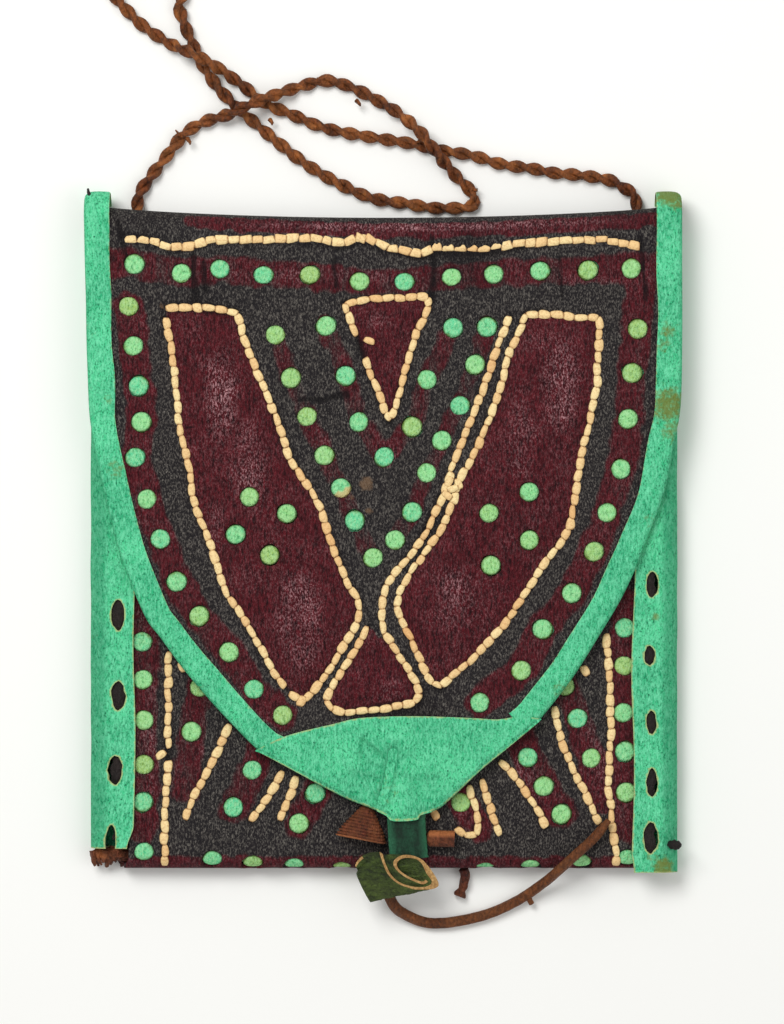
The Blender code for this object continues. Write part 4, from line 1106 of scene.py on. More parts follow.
def makeShell():
    # rows stand close on the front and the bottom fold, and wide on the plain back
    front = frontUpper - bottomStart + math.pi * bottomRadius
    back = foldStart - bottomStart
    spacing, backSpacing = ((0.0008, 0.003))
    rows = round(front / spacing) + round(back / backSpacing)
    slab = makeSlab("shellLeather", (-frontHalf, 0), (frontHalf, rows * spacing), leather, spacing)
    points = pointsOf(slab)
    step = points[:, 1] / spacing
    frontRows = front / spacing
    run = np.where(step <= frontRows, step * spacing,
                   front + (step - frontRows) * back / (rows - frontRows))
    along = frontUpper - run
    points[:, 1] = along
    setPoints(slab, points)
    fixNormals(slab)
    cutWith(slab, punchCutter(frontPlaces, dotSettings["hole"]), "DIFFERENCE")
    points = pointsOf(slab)
    flat, depth = points[:, :2].copy(), -points[:, 2]
    rise = holeLip(gapToPlaces(flat, frontPlaces), depth)
    gap = gapToLines(flat, [atAll(line) for line in frontLines.values()])
    rise -= puffSettings["groove"] * 0.7 * np.exp(-(gap / puffSettings["grooveReach"]) ** 2)
    onFront = smoothStep(bottomStart - 0.009, bottomStart - 0.003, flat[:, 1])
    rise += 0.00022 * waves(onGround(flat), 70, 1.9) * onFront
    paintPanel(slab, flat, np.maximum(dyeField(flat, [], frontMaroonLines), 1 - onFront), rise)
    widen = 1 + (backHalf / frontHalf - 1) * smoothStep(bottomStart, bottomStart - 0.012, flat[:, 1])
    setPoints(slab, placeShell(flat[:, 0] * widen, flat[:, 1], depth - rise * onFront))
    dress(slab, panelLeather)
    rideAndReplace(slab, "pouch", "pouch_shell")
    print("shell done,", len(slab.data.polygons), "faces")


def makeDots(name, places, place, seatDepth, riseAt, faded=()):
    # the green that swells up through each punched hole, one low dome for each
    s = dotSettings
    around, rings, reach, topDepth = s["around"], s["rings"], s["reach"], s["topDepth"]
    seatDepth += s["intoLining"]
    points, faces, tones, rims, fades = [], [], [], [], []
    for index, (x, y) in enumerate(places):
        start = len(points)
        tone = random.random() ** 1.3
        lift = riseAt[index]
        for ring in range(rings + 1):
            share = ring / rings
            for corner in range(around):
                angle = angleOf(corner, around)
                uneven = 0.00006 * math.sin(3 * angle + index) + random.uniform(-1, 1) * 0.00003
                depth = topDepth - lift + (seatDepth - topDepth + lift) * share ** 9 + uneven * (1 - share)
                points.append((x + reach * share ** 0.8 * math.cos(angle),
                               y + reach * share ** 0.8 * math.sin(angle), depth))
                tones.append(min(max(tone + random.uniform(-0.10, 0.10), 0), 1))
                rims.append(share ** 3 * 0.62 + 0.22 * share * (1 + math.sin(angle + index * 2.3)))
                isFaded = index in faded and share > 0.3 and math.cos(angle + 1.1) > 0.25
                fades.append(0.65 if isFaded else 0.0)
        for ring in range(rings):
            for corner in range(around):
                following = (corner + 1) % around
                first, second = start + ring * around, start + (ring + 1) * around
                faces.append([first + corner, second + corner, second + following, first + following])
        faces.append([start + corner for corner in range(around)])
        faces.append([start + rings * around + corner for corner in reversed(range(around))])
    array = np.array(points)
    dots = meshPiece(name, place(array[:, 0], array[:, 1], array[:, 2]), faces)
    paint(dots, "tone", tones)
    paint(dots, "rim", rims)
    paint(dots, "faded", fades)
    fixNormals(dots)
    dots.data.materials.append(greenDots)
    return dots


def finishLining(sheet, dots, name, body, node):
    sheet.data.materials.clear()
    sheet.data.materials.append(greenLeather)
    lining = joinPieces([sheet, dots], name)
    finishLook(lining)
    rideAndReplace(lining, body, node)
    print(node, "done")


def makeFlapLining():
    edge = [point for point in flapOutline(0.0056) if point[1] < foldStart - 2 * leather]
    top = foldStart - leather
    outline = [(edge[0][0], top), *edge, (edge[-1][0], top)]
    sheet = outlinedSheet("flapLining", outline, liningThickness, liningSpacing)
    points = pointsOf(sheet)
    flat = points[:, :2].copy()
    inside = smoothStep(0.0, 0.006, distanceToLine(flat, outline + outline[:1]))
    points[:, 2] += liningHigh.z + 0.00012 * waves(onGround(flat), 120, 5.5) * inside
    setPoints(sheet, points)
    paint(sheet, "edge", 1 - inside)
    paint(sheet, "stain", 0.35 * smoothStep(0.1, 0.5, waves(onGround(flat), 60, 9.5)))
    places = atAll(flapDots)
    dots = makeDots("flapDots", places, placeFlap, flapTop - liningHigh.z, flapRise(np.array(places)),
                    faded=(flapDots.index((341, 488)),))
    finishLining(sheet, dots, "flapLining", "flap", "flap_lining")


def makeFrontLining():
    half = frontHalf - leather
    upper = frontUpper - leather
    turnLength = math.pi / 2 * bottomRadius
    sheet = makeSlab("frontLining", (-half, bottomStart - turnLength), (half, upper),
                     liningThickness, liningSpacing)
    points = pointsOf(sheet)
    seat = frontTop - frontLiningHigh.z
    paint(sheet, "edge", smoothStep(0.004, 0.0, half - np.abs(points[:, 0])))
    paintPlain(sheet, "stain")
    setPoints(sheet, placeShell(points[:, 0], points[:, 1], seat - points[:, 2]))
    dots = makeDots("frontDots", frontPlaces, placeShell, seat, [0.0] * len(frontPlaces))
    finishLining(sheet, dots, "frontLining", "pouch", "front_lining")


liningThickness = liningHigh.z - liningLow.z
frontHalf, backHalf = shellHigh.x - 0.0022, shellHigh.x
frontUpper = frontLiningHigh.y + leather


def unrolled(x, y):
    # a drawn place on the front, measured along the leather round the bottom fold
    below = min(max(bottomStart - y, 0), bottomRadius * 0.995)
    return (x, y) if below == 0 else (x, bottomStart - bottomRadius * math.asin(below / bottomRadius))


frontPlaces = [unrolled(*at(*dot)) for dot in frontDots + foldDots]
makeFlap()
makeFlapLining()
makeShell()
makeFrontLining()


# stitches: each a little cushion of split strip, pinched where it meets the next
stitchSettings = {"width": 0.00205, "length": 0.0030, "thick": 0.00048, "sink": 0.00022,
                  "topLineWidth": 0.0022, "topLineLength": 0.0029, "overlap": 1.05}
stitchGaps = {"stitch_left_leaf": [(291, 691), (163, 309)], "stitch_triangle": [(362, 350)],
              "front_stitch_left_edge": [(168, 757)]}
# single pads off the lines: across, down, degrees, row
extraStitches = [(369.5, 340.5, -20, "stitch_triangle"), (182, 667, -65, "front_stitch_left_leaf"),
                 (585, 671, -60, "front_stitch_right_leaf"), (435, 815, -60, "front_stitch_hook"),
                 (160.5, 755, 35, "front_stitch_left_edge"), (453, 489, 20, "stitch_keystone"),
                 (458, 484, -70, "stitch_keystone"), (449, 482, 60, "stitch_keystone"),
                 (447, 495, -35, "stitch_keystone"), (361, 238, -30, "stitch_top"),
                 (302, 701, 65, "stitch_left_leaf"), (294, 696, -30, "stitch_left_leaf")]


def cushion(centre, along, length, width, thick, square, seed):
    # closed little pad: flat foot, low top, its ends cut off at a slant
    sections, around = 7, 8
    dice = random.Random(seed)
    across = Vector((-along.y, along.x, 0))
    points, rims = [], []
    lean, swell = dice.uniform(-0.16, 0.16), dice.uniform(0.88, 1.08)
    slants = dice.uniform(-0.30, 0.30), dice.uniform(-0.30, 0.30)
    for section in range(sections):
        t = -1 + 2 * section / (sections - 1)
        pinch = 1 - (0.16 if square else 0.40) * abs(t) ** (6 if square else 2.8)
        half = width / 2 * pinch * swell * (1 + lean * t)
        top = thick * (1 - 0.45 * abs(t) ** 5) * (0.9 + 0.1 * math.cos(t * 5 + seed)) + 0.0001 * t
        for corner in range(around):
            angle = angleOf(corner, around)
            side = math.copysign(abs(math.cos(angle)) ** 0.6, math.cos(angle)) * half
            rise = math.sin(angle)
            height = top * max(rise, 0) ** 0.45 if rise > 0 else rise * stitchSettings["sink"] * 2
            reach = t * length / 2 + slants[section > 3] * abs(t) * side
            points.append(centre + along * reach + across * side + Vector((0, 0, height)))
            rims.append(min(1.0, max(abs(t) ** 7, 1 - max(rise, 0) ** 0.5) * 0.85))
    return points, tubeFaces(sections, around), rims


def stitchRow(name, line, body, square=False, closed=False):
    s = stitchSettings
    pitch = s["topLineLength"] if square else s["length"]
    width = s["topLineWidth"] if square else s["width"]
    onFlap = body == "flap"
    way = atAll(line + line[:1] if closed else line)
    if not onFlap:
        way = [unrolled(*place) for place in way]
    way = smoothLine([(x, y, 0) for x, y in way], pitch)
    for index in range(1, len(way) - 1):
        way[index] = way[index].lerp(way[index + 1], random.uniform(0, 0.22))
    gaps = [Vector((*at(*gap), 0)) for gap in stitchGaps.get(name, [])]
    pads = []
    for first, second in zip(way[:-1], way[1:]):
        middle = (first + second) / 2
        if any((middle - gap).length < pitch * 0.75 for gap in gaps):
            continue
        run = second - first
        pads.append((middle, math.atan2(run.y, run.x) + random.uniform(-0.15, 0.15), run.length))
    for across, down, degrees, row in extraStitches:
        if row == name:
            place = Vector((*unrolled(*at(across, down)), 0.0002))
            pads.append((place, math.radians(degrees), pitch * 0.9))
    points, faces, tones, rims = [], [], [], []
    for index, (middle, angle, length) in enumerate(pads):
        along = Vector((math.cos(angle), math.sin(angle), 0))
        middle = middle + Vector((-along.y, along.x, 0)) * random.uniform(-0.00018, 0.00018)
        middle.z += flapRise(np.array([[middle.x, middle.y]]))[0] + s["sink"] if onFlap else -0.0001
        pad, sides, rim = cushion(middle, along, length * s["overlap"],
                                  width * random.uniform(0.84, 1.12), s["thick"], square, index)
        faces += [[len(points) + corner for corner in side] for side in sides]
        points += pad
        rims += rim
        tone = 0.25 + 0.5 * noise.noise(Vector((index * 0.21, len(name), 0))) + random.uniform(-0.2, 0.3)
        tones += [min(max(tone, 0), 1)] * len(pad)
    array = np.array(points)
    if onFlap:
        array[:, 2] += flapTop
    else:
        array = placeShell(array[:, 0], array[:, 1], -array[:, 2])
    row = meshPiece(name.replace("_", " ").title().replace(" ", "") + "Row", array, faces)
    paint(row, "tone", tones)
    paint(row, "rim", rims)
    fixNormals(row)
    dress(row, tanStrip, 75)
    rideAndReplace(row, body, name)


def makeStitches():
    for name, line in flapStitches.items():
        closed = name in ("stitch_left_leaf", "stitch_right_leaf", "stitch_triangle")
        stitchRow(name, line, "flap", square=name == "stitch_top", closed=closed)
    for name, line in frontLines.items():
        stitchRow(name, line, "pouch")
    print("stitches done")


makeStitches()


# green strips folded round the flap's edge
bindingSettings = {"step": 0.00045, "wrinkle": 0.00010, "wrinkleLength": 0.0011, "overTheTop": 150}
bindingSection = [(6.40, 11.90), (6.40, 12.20), (6.05, 12.38), (5.2, 12.46), (4.3, 12.50), (3.4, 12.50),
                  (2.5, 12.48), (1.7, 12.40), (1.0, 12.22), (0.45, 11.85), (0.12, 11.40), (0.0, 11.0),
                  (0.12, 10.6), (0.45, 10.15), (1.0, 9.80), (1.7, 9.62), (3.2, 9.56), (5.0, 9.54),
                  (5.0, 10.12), (3.2, 10.14), (1.9, 10.20), (1.35, 11.0), (1.9, 11.80), (4.0, 11.84)]


def makeBinding(word, edgePoints, side, stainSpots):
    s = bindingSettings
    section = [(inwards * mm, height * mm) for inwards, height in bindingSection]
    edge = atAll(edgePoints)
    topX = edge[0][0]
    topStart = bindingHigh.y - (bindingHigh.z - foldCentre)
    way = smoothLine([(topX, topStart, 0)] + [(x, y, 0) for x, y in edge[1:]], s["step"])
    rings, marks, inward = [], [], []
    turns = 26
    last = math.radians(s["overTheTop"])
    for index in range(turns, 0, -1):
        angle = last * index / turns
        ring = []
        for inwards, height in section:
            radius = height - foldCentre
            ring.append((topX - side * inwards, topStart + radius * math.sin(angle),
                         foldCentre + radius * math.cos(angle)))
        rings.append(ring)
        marks.append(-angle * foldRadius)
    walked = 0.0
    for index, point in enumerate(way):
        before, after = way[max(index - 1, 0)], way[min(index + 1, len(way) - 1)]
        walked += (point - way[max(index - 1, 0)]).length
        along = (after - before).normalized()
        inner = Vector((-along.y, along.x)) if side < 0 else Vector((along.y, -along.x))
        wander = 0.00022 * noise.noise(Vector((walked * 60, side * 4, 0)))
        ring = []
        for place, (inwards, height) in enumerate(section):
            lift = 0.0
            if 1 <= place <= 9:
                lift = 0.00010 * noise.noise(Vector((walked * 190, inwards * 300, side * 7)))
                share = math.exp(-((walked - 0.045) / 0.016) ** 2) if side > 0 else 0.0
                slant = walked + inwards * 0.35
                lift += s["wrinkle"] * share * math.sin(2 * math.pi * slant / s["wrinkleLength"])
            reach = inwards * (1 + wander / 0.0064 * 3) + wander * 0.6
            ring.append((point.x + inner.x * reach, point.y + inner.y * reach, height + lift))
        rings.append(ring)
        marks.append(walked)
    points = [spot3 for ring in rings for spot3 in ring]
    around = len(section)
    binding = meshPiece("flapBinding" + word, points, tubeFaces(len(rings), around))
    fixNormals(binding)
    array = np.array(points)
    rimShare = {0: 0.7, 1: 0.55, 2: 0.2, 10: 0.2}
    paint(binding, "edge", [rimShare.get(place, 0.0) for _ in rings for place in range(around)])
    roundShare = {9: 0.10, 10: 0.30, 11: 0.40}
    paint(binding, "shade", [roundShare.get(place, 0.0) for _ in rings for place in range(around)])
    stain = np.zeros(len(points))
    for across, down, reach, strength in stainSpots:
        x, y = at(across, down)
        gap = np.hypot(array[:, 0] - x, (array[:, 1] - y))
        stain = np.maximum(stain, strength * smoothStep(reach * unit * 1.4, reach * unit * 0.3, gap))
    paint(binding, "stain", stain)
    dress(binding, greenLeather, 60)
    if side < 0:   # a dark end of thong at the top corner
        nubWay = spots3d([(92, 199, 0.0096), (89.5, 196, 0.0090), (88, 191.5, 0.0086),
                          (87.5, 188.5, 0.0080)])
        nub = sweep("nub", nubWay, lambda index, corner: 0.0006 - 0.0001 * index, 8)
        nub.data.materials.append(blackThong)
        fixNormals(nub)
        binding = joinPieces([binding, nub], "flapBinding" + word)
    overTheFold(binding, "flap_binding_" + word.lower())
    print("binding done", word)


foldCentre = flapTop - foldRadius
# stains: across, down, reach, strength
makeBinding("Left", flapEdgeLeft + [(271, 758.5)], -1,
            [(116, 470, 14, 0.5), (108, 400, 9, 0.4), (92, 330, 8, 0.35), (200, 690, 12, 0.35)])
makeBinding("Right", flapEdgeRight + [(526, 732.5)], 1,
            [(670, 192, 18, 0.95), (676, 200, 14, 0.8), (668, 330, 12, 0.6), (664, 345, 10, 0.55),
             (668, 405, 22, 0.85), (672, 430, 16, 0.6), (650, 520, 12, 0.4), (560, 690, 14, 0.4)])


# the leaf-shaped patch over the flap's tip, drawn in to a pucker above the strap
patchSettings = {"columns": 270, "rowsTop": 60, "wall": 0.0006, "pucker": (392, 764), "lip": (404, 815),
                 "tent": 0.0026}
patchLower = [(255.5, 751)] + tipEdge[:3] + [(349, 799.5), (371, 808), (386, 815), (393, 820), (416, 819),
                                             (420.5, 814.5), (434, 810.5)] + tipEdge[6:] + [(541, 719.2)]
patchUpper = [(255.5, 750)] + tipTop + [(541, 718.5)]
# creases of the pucker: the line, the depth and the reach
patchCreases = [([(393, 752), (391, 764), (388, 780), (382, 800)], 0.0010, 0.0015),
                ([(391, 764), (376, 749), (362, 739)], 0.00045, 0.0005),
                ([(362, 739), (360, 757)], 0.00040, 0.0005), ([(393, 752), (396, 742)], 0.00034, 0.0005),
                ([(391, 766), (404, 757), (416, 748)], 0.00020, 0.0006),
                ([(388, 778), (372, 778), (350, 771)], 0.00026, 0.0009),
                ([(386, 790), (372, 797)], 0.00030, 0.0009),
                ([(392, 770), (412, 778), (440, 776)], 0.0002, 0.0010),
                ([(384, 768), (368, 762)], 0.00022, 0.0006)]


def patchHeight(x, y):
    # the drawn-in pucker with the raised tent below it, over the strap
    s = patchSettings
    pucker, lip = Vector(at(*s["pucker"])), Vector(at(*s["lip"]))
    run, spotRun = lip - pucker, Vector((x, y)) - pucker
    share = min(max(spotRun.dot(run) / run.length_squared, 0), 1.3)
    gap = (spotRun - run * share).length
    height = s["tent"] * min(share * 1.2, 1) * math.exp(-(gap / (0.0042 + 0.0012 * share)) ** 2.6)
    height += 0.0009 * math.exp(-((x - pucker.x) / 0.013) ** 2 - ((y - pucker.y) / 0.009) ** 2)
    height += 0.00034 * noise.noise(Vector((x * 130, y * 130, 4)))
    return height + 0.00016 * noise.noise(Vector((x * 420, y * 300, 7)))


def creaseAt(flat):
    # depth of the creases, and how dark they look
    depth, dark = np.zeros(len(flat)), np.zeros(len(flat))
    for line, deep, reach in patchCreases:
        near = np.exp(-(distanceToLine(flat, atAll(line)) / reach) ** 2)
        depth = np.maximum(depth, deep * near)
        dark = np.maximum(dark, deep / 0.0010 * near)
    return depth, dark


def makePatch():
    s = patchSettings
    lower = smoothLine([(x, y, 0) for x, y in atAll(patchLower)], 0.00025)
    upper = smoothLine([(x, y, 0) for x, y in atAll(patchUpper)], 0.00025)
    rings, edgeMarks = [], []
    under, wall = liningLow.z, s["wall"]
    for column in range(s["columns"] + 1):
        share = column / s["columns"]
        outer = lower[round(share * (len(lower) - 1))]
        inner = upper[round(share * (len(upper) - 1))]
        reach = inner - outer
        width = max(reach.length, 0.0003)
        # the ends lie over the bindings' ends
        onBinding = float(smoothStep(0.045, 0.015, min(share, 1 - share)))
        top = bindingHigh.z + 0.0005 * onBinding
        bottom = under - 0.0001 * onBinding
        ring, marks = [], []
        for row in range(s["rowsTop"] + 1):
            t = row / s["rowsTop"]
            spot3 = inner - reach * t * 0.985
            edgeDrop = 0.0008 * smoothStep(1 - 0.0016 / width, 1.0, t)
            body = top + patchHeight(spot3.x, spot3.y) - 0.0002 * smoothStep(0.0012 / width, 0.0, t)
            ring.append((spot3.x, spot3.y, body - edgeDrop))
            rim = max(smoothStep(0.0009 / width, 0.0, t), smoothStep(1 - 0.0008 / width, 1.0, t))
            marks.append(rim * 0.7)
        lipLift = max(patchHeight(outer.x, outer.y), 0)
        belowIn = min(0.0050 / width, 0.7)
        steps = [(0.0, (top + bottom) / 2 + lipLift * 0.5, 0.4), (0.03, bottom, 0.2), (belowIn, bottom, 0.0),
                 (belowIn, bottom + wall, 0.0), (0.07, bottom + wall, 0.0)]
        if lipLift > 0.0006:
            ceiling = top + lipLift - wall - 0.0007
            steps = [(0.0, top + lipLift - 0.0006, 0.4), (0.02, ceiling, 0.2), (belowIn, ceiling, 0.0),
                     (belowIn, ceiling + 0.0001, 0.0), (0.07, ceiling + 0.0002, 0.0)]
        for t, height, mark in steps:
            spot3 = outer + reach * t
            ring.append((spot3.x, spot3.y, height))
            marks.append(mark)
        for row in range(12, -1, -1):
            t = row / 12
            spot3 = inner - reach * t * 0.93
            ring.append((spot3.x, spot3.y, top + patchHeight(spot3.x, spot3.y) - wall))
            marks.append(0.0)
        rings.append(ring)
        edgeMarks += marks
    around = len(rings[0])
    array = np.array([spot3 for ring in rings for spot3 in ring])
    depth, dark = creaseAt(array[:, :2])
    onTop = np.tile(np.arange(around) <= s["rowsTop"], len(rings))
    array[:, 2] -= depth * onTop
    patch = meshPiece("tipPatch", array, tubeFaces(len(rings), around))
    fixNormals(patch)
    paint(patch, "edge", edgeMarks)
    paint(patch, "shade", 0.9 * dark * onTop)
    x, y = at(388, 790)
    hazy = np.hypot(array[:, 0] - x, (array[:, 1] - y) * 0.6)
    paint(patch, "stain", 0.32 * smoothStep(0.006, 0.001, hazy))
    dress(patch, greenLeather, 60)
    rideAndReplace(patch, "flap", "tip_patch")
    print("patch done")


makePatch()


# side bands: folded green strips with torn slits that show the dark lacing
bandSettings = {"spacing": 0.00055, "thick": 0.0008, "return": 0.0026}
bandSlits = {-1: [(0.0025, 615, 0.0035, 0.0078), (0.0025, 696, 0.0035, 0.0075),
                  (0.0017, 770.5, 0.0036, 0.0075), (0.0008, 845, 0.0031, 0.0100)],
             1: [(0.0020, 584.5, 0.0032, 0.0065), (0.0024, 655.5, 0.0025, 0.0050),
                 (0.0020, 722.5, 0.0025, 0.0060), (0.0020, 783, 0.0028, 0.0072),
                 (0.0022, 838, 0.0035, 0.0080)]}


def slitOutline(inwards, y, width, length, seed):
    dice = random.Random(seed)
    outline = []
    corners = 18
    for corner in range(corners):
        angle = angleOf(corner, corners)
        lens = abs(math.cos(angle)) ** 1.2 * math.copysign(1, math.cos(angle))
        jag = 1 + dice.uniform(-0.14, 0.14)
        outline.append((inwards + lens * width / 2 * jag, y + math.sin(angle) * length / 2
                        * (1 + dice.uniform(-0.05, 0.05))))
    return outline


def makeBand(side, word, stainSpots):
    s = bandSettings
    low3, high3 = (leftBandLow, leftBandHigh) if side < 0 else (rightBandLow, rightBandHigh)
    radius = high3.z / 2
    middle = abs(low3.x if side < 0 else high3.x) - radius
    flange = middle - abs(high3.x if side < 0 else low3.x)
    around = math.pi * radius + s["return"]
    slab = makeSlab("sideBand" + word, (-around, low3.y), (flange, high3.y), s["thick"], s["spacing"])
    outlines = [slitOutline(inwards, at(0, down)[1], width, length, index + 3 * side)
                for index, (inwards, down, width, length) in enumerate(bandSlits[side])]
    for outline in outlines:
        cutWith(slab, outlineCutter(outline), "DIFFERENCE")
    points = pointsOf(slab)
    across, along, depth = points[:, 0].copy(), points[:, 1].copy(), -points[:, 2]
    flat = np.column_stack([across, along])
    slitGap = gapToLines(flat, [outline + outline[:1] for outline in outlines])
    soft = waves(onGround(flat), 90, side * 6.3)
    edgeGap = np.minimum(np.minimum(flange - across, along - low3.y), high3.y - along)
    paint(slab, "edge", np.maximum(0.85 * smoothStep(0.0007, 0.0001, edgeGap),
                                   0.95 * smoothStep(0.0006, 0.0001, slitGap)))
    stain = np.zeros(len(points))
    for inwards, down, reach, strength in stainSpots:
        gap = np.hypot(across - inwards, along - at(0, down)[1])
        stain = np.maximum(stain, strength * smoothStep(reach * 1.4, reach * 0.2, gap))
    paint(slab, "stain", stain)
    paint(slab, "shade", 0.40 * smoothStep(0.0002, -0.0016, across))
    reach = np.clip(across / flange, 0, 1)
    wander = waves(np.column_stack([along * 0, along, along * 0]), 34, side * 2.7) * 0.0009
    across = across + wander * reach
    corner = smoothStep(low3.y + 0.006, low3.y, along) * (1.0 if side < 0 else 0.4)
    across = across - 0.0016 * corner * reach
    lift = 0.00016 * soft - 0.00035 * np.exp(-(slitGap / 0.0012) ** 2) * (slitGap < 1)
    lift += 0.00015 * smoothStep(0.0012, 0.0, edgeGap)
    turn = np.clip(-across / radius, 0, math.pi)
    onRound = radius - depth + 0.00018 * soft * (depth < 0.0004)
    run = np.clip(-across - math.pi * radius, 0, None)
    newX = np.where(across >= 0, middle - across, middle + onRound * np.sin(turn) - run)
    newZ = np.where(across >= 0, 2 * radius - depth + lift, radius + onRound * np.cos(turn))
    newZ = np.maximum(newZ, 0.0)
    setPoints(slab, np.column_stack([side * newX, along, newZ]))
    fixNormals(slab)
    dress(slab, greenLeather, 50)
    rideAndReplace(slab, "pouch", "side_band_" + word.lower())
    print("side band done", word)


makeBand(-1, "Left", [(0.002, 842, 0.003, 0.5), (-0.004, 640, 0.003, 0.3)])
makeBand(1, "Right", [(-0.001, 868, 0.0035, 0.9), (0.002, 858, 0.002, 0.5), (0.001, 617, 0.0014, 0.7)])


# black lacing behind the slits
def makeLace(side, word):
    low3, high3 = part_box("side_lace_" + word.lower())
    across = (low3.x + high3.x) / 2
    way = []
    steps = 90
    for index in range(steps + 1):
        y = low3.y + 0.0006 + (high3.y - low3.y - 0.0012) * index / steps
        near = max(math.exp(-((y - at(0, down)[1]) / 0.0030) ** 2) for _, down, _, _ in bandSlits[side])
        way.append(Vector((across + 0.0004 * math.sin(index * 0.5), y,
                           (low3.z + high3.z) / 2 + 0.00035 * near)))

    def radiusAt(index, corner):
        angle = angleOf(corner, 12)
        wide, flat = (high3.x - low3.x) / 2 * 0.96, (high3.z - low3.z) / 2
        return 1 / math.sqrt((math.cos(angle) / wide) ** 2 + (math.sin(angle) / flat) ** 2) \
            * (1 + 0.10 * math.sin(index * 1.7 + corner * 2.4))

    lace = sweep("lace", way, radiusAt, 12)
    parts = [lace]
    if side > 0:   # the lace's end that stands out of the right edge near the bottom
        x, y = at(677, 845)
        end = smoothLine([Vector((x - 0.0022, y + 0.0002, 0.0090)), Vector((x - 0.0006, y, 0.0096)),
                          Vector((x + 0.0010, y - 0.0001, 0.0090))], 0.0002)

        def endRadius(index, corner):
            uneven = 1 + 0.12 * math.sin(corner * 2 + index)
            return 0.00125 * uneven * math.sin(math.pi * (index + 1) / (len(end) + 1)) ** 0.5

        parts.append(sweep("laceEnd", end, endRadius, 10))
    lace = joinPieces(parts, "sideLace" + word)
    fixNormals(lace)
    paintPlain(lace, "edge")
    dress(lace, blackThong, 60)
    rideAndReplace(lace, "pouch", "side_lace_" + word.lower())


makeLace(-1, "Left")
makeLace(1, "Right")
print("lacing done")


# closure: dark green strap, its rolled end, the toggle and the thongs
strapSettings = {"way": [(405, 802, 0.0118), (406, 818, 0.0122), (407, 835, 0.0124), (409, 858, 0.0122)],
                 "halfWidth": 0.0048, "halfThick": 0.0013}


def makeStrap():
    s = strapSettings
    way = smoothLine(spots3d(s["way"]), 0.00028)
    corners = 44

    def radiusAt(index, corner):
        angle = angleOf(corner, corners)
        power = 3.0
        wide = abs(math.cos(angle) / s["halfWidth"]) ** power
        flat = abs(math.sin(angle) / s["halfThick"]) ** power
        ridge = 1 + 0.05 * noise.noise(Vector((corner * 1.7, index * 0.05, 3)))
        ridge += 0.035 * noise.noise(Vector((corner * 0.4, index * 0.35, 8)))
        return (wide + flat) ** (-1 / power) * ridge

    strap = sweep("closureStrap", way, radiusAt, corners)
    fixNormals(strap)
    rim = [0.8 * smoothStep(0.93, 1.0, abs(math.cos(2 * math.pi * (i % corners) / corners)))
           for i in range(len(strap.data.vertices))]
    paint(strap, "edge", rim)
    dress(strap, darkGreenLeather, 60)
    rideAndReplace(strap, "flap", "closure_strap")
    print("strap done")


# the rolled strip's rings from its far end to its mouth: centre, its long and its short reach in mm
rollSettings = {"turns": 1.48, "stepsAround": 150, "stepsAlong": 26, "pitch": 0.26, "wall": 0.13,
                "rings": [((363, 885, 0.0104), (1.7, -4.3, -0.4), (-1.3, 1.6, 1.2)),
                          ((385, 875, 0.0114), (4.3, -4.4, -0.5), (0.3, 3.9, 1.2)),
                          ((415, 870, 0.0136), (6.6, -3.9, -0.5), (2.0, 3.5, 0.8))]}


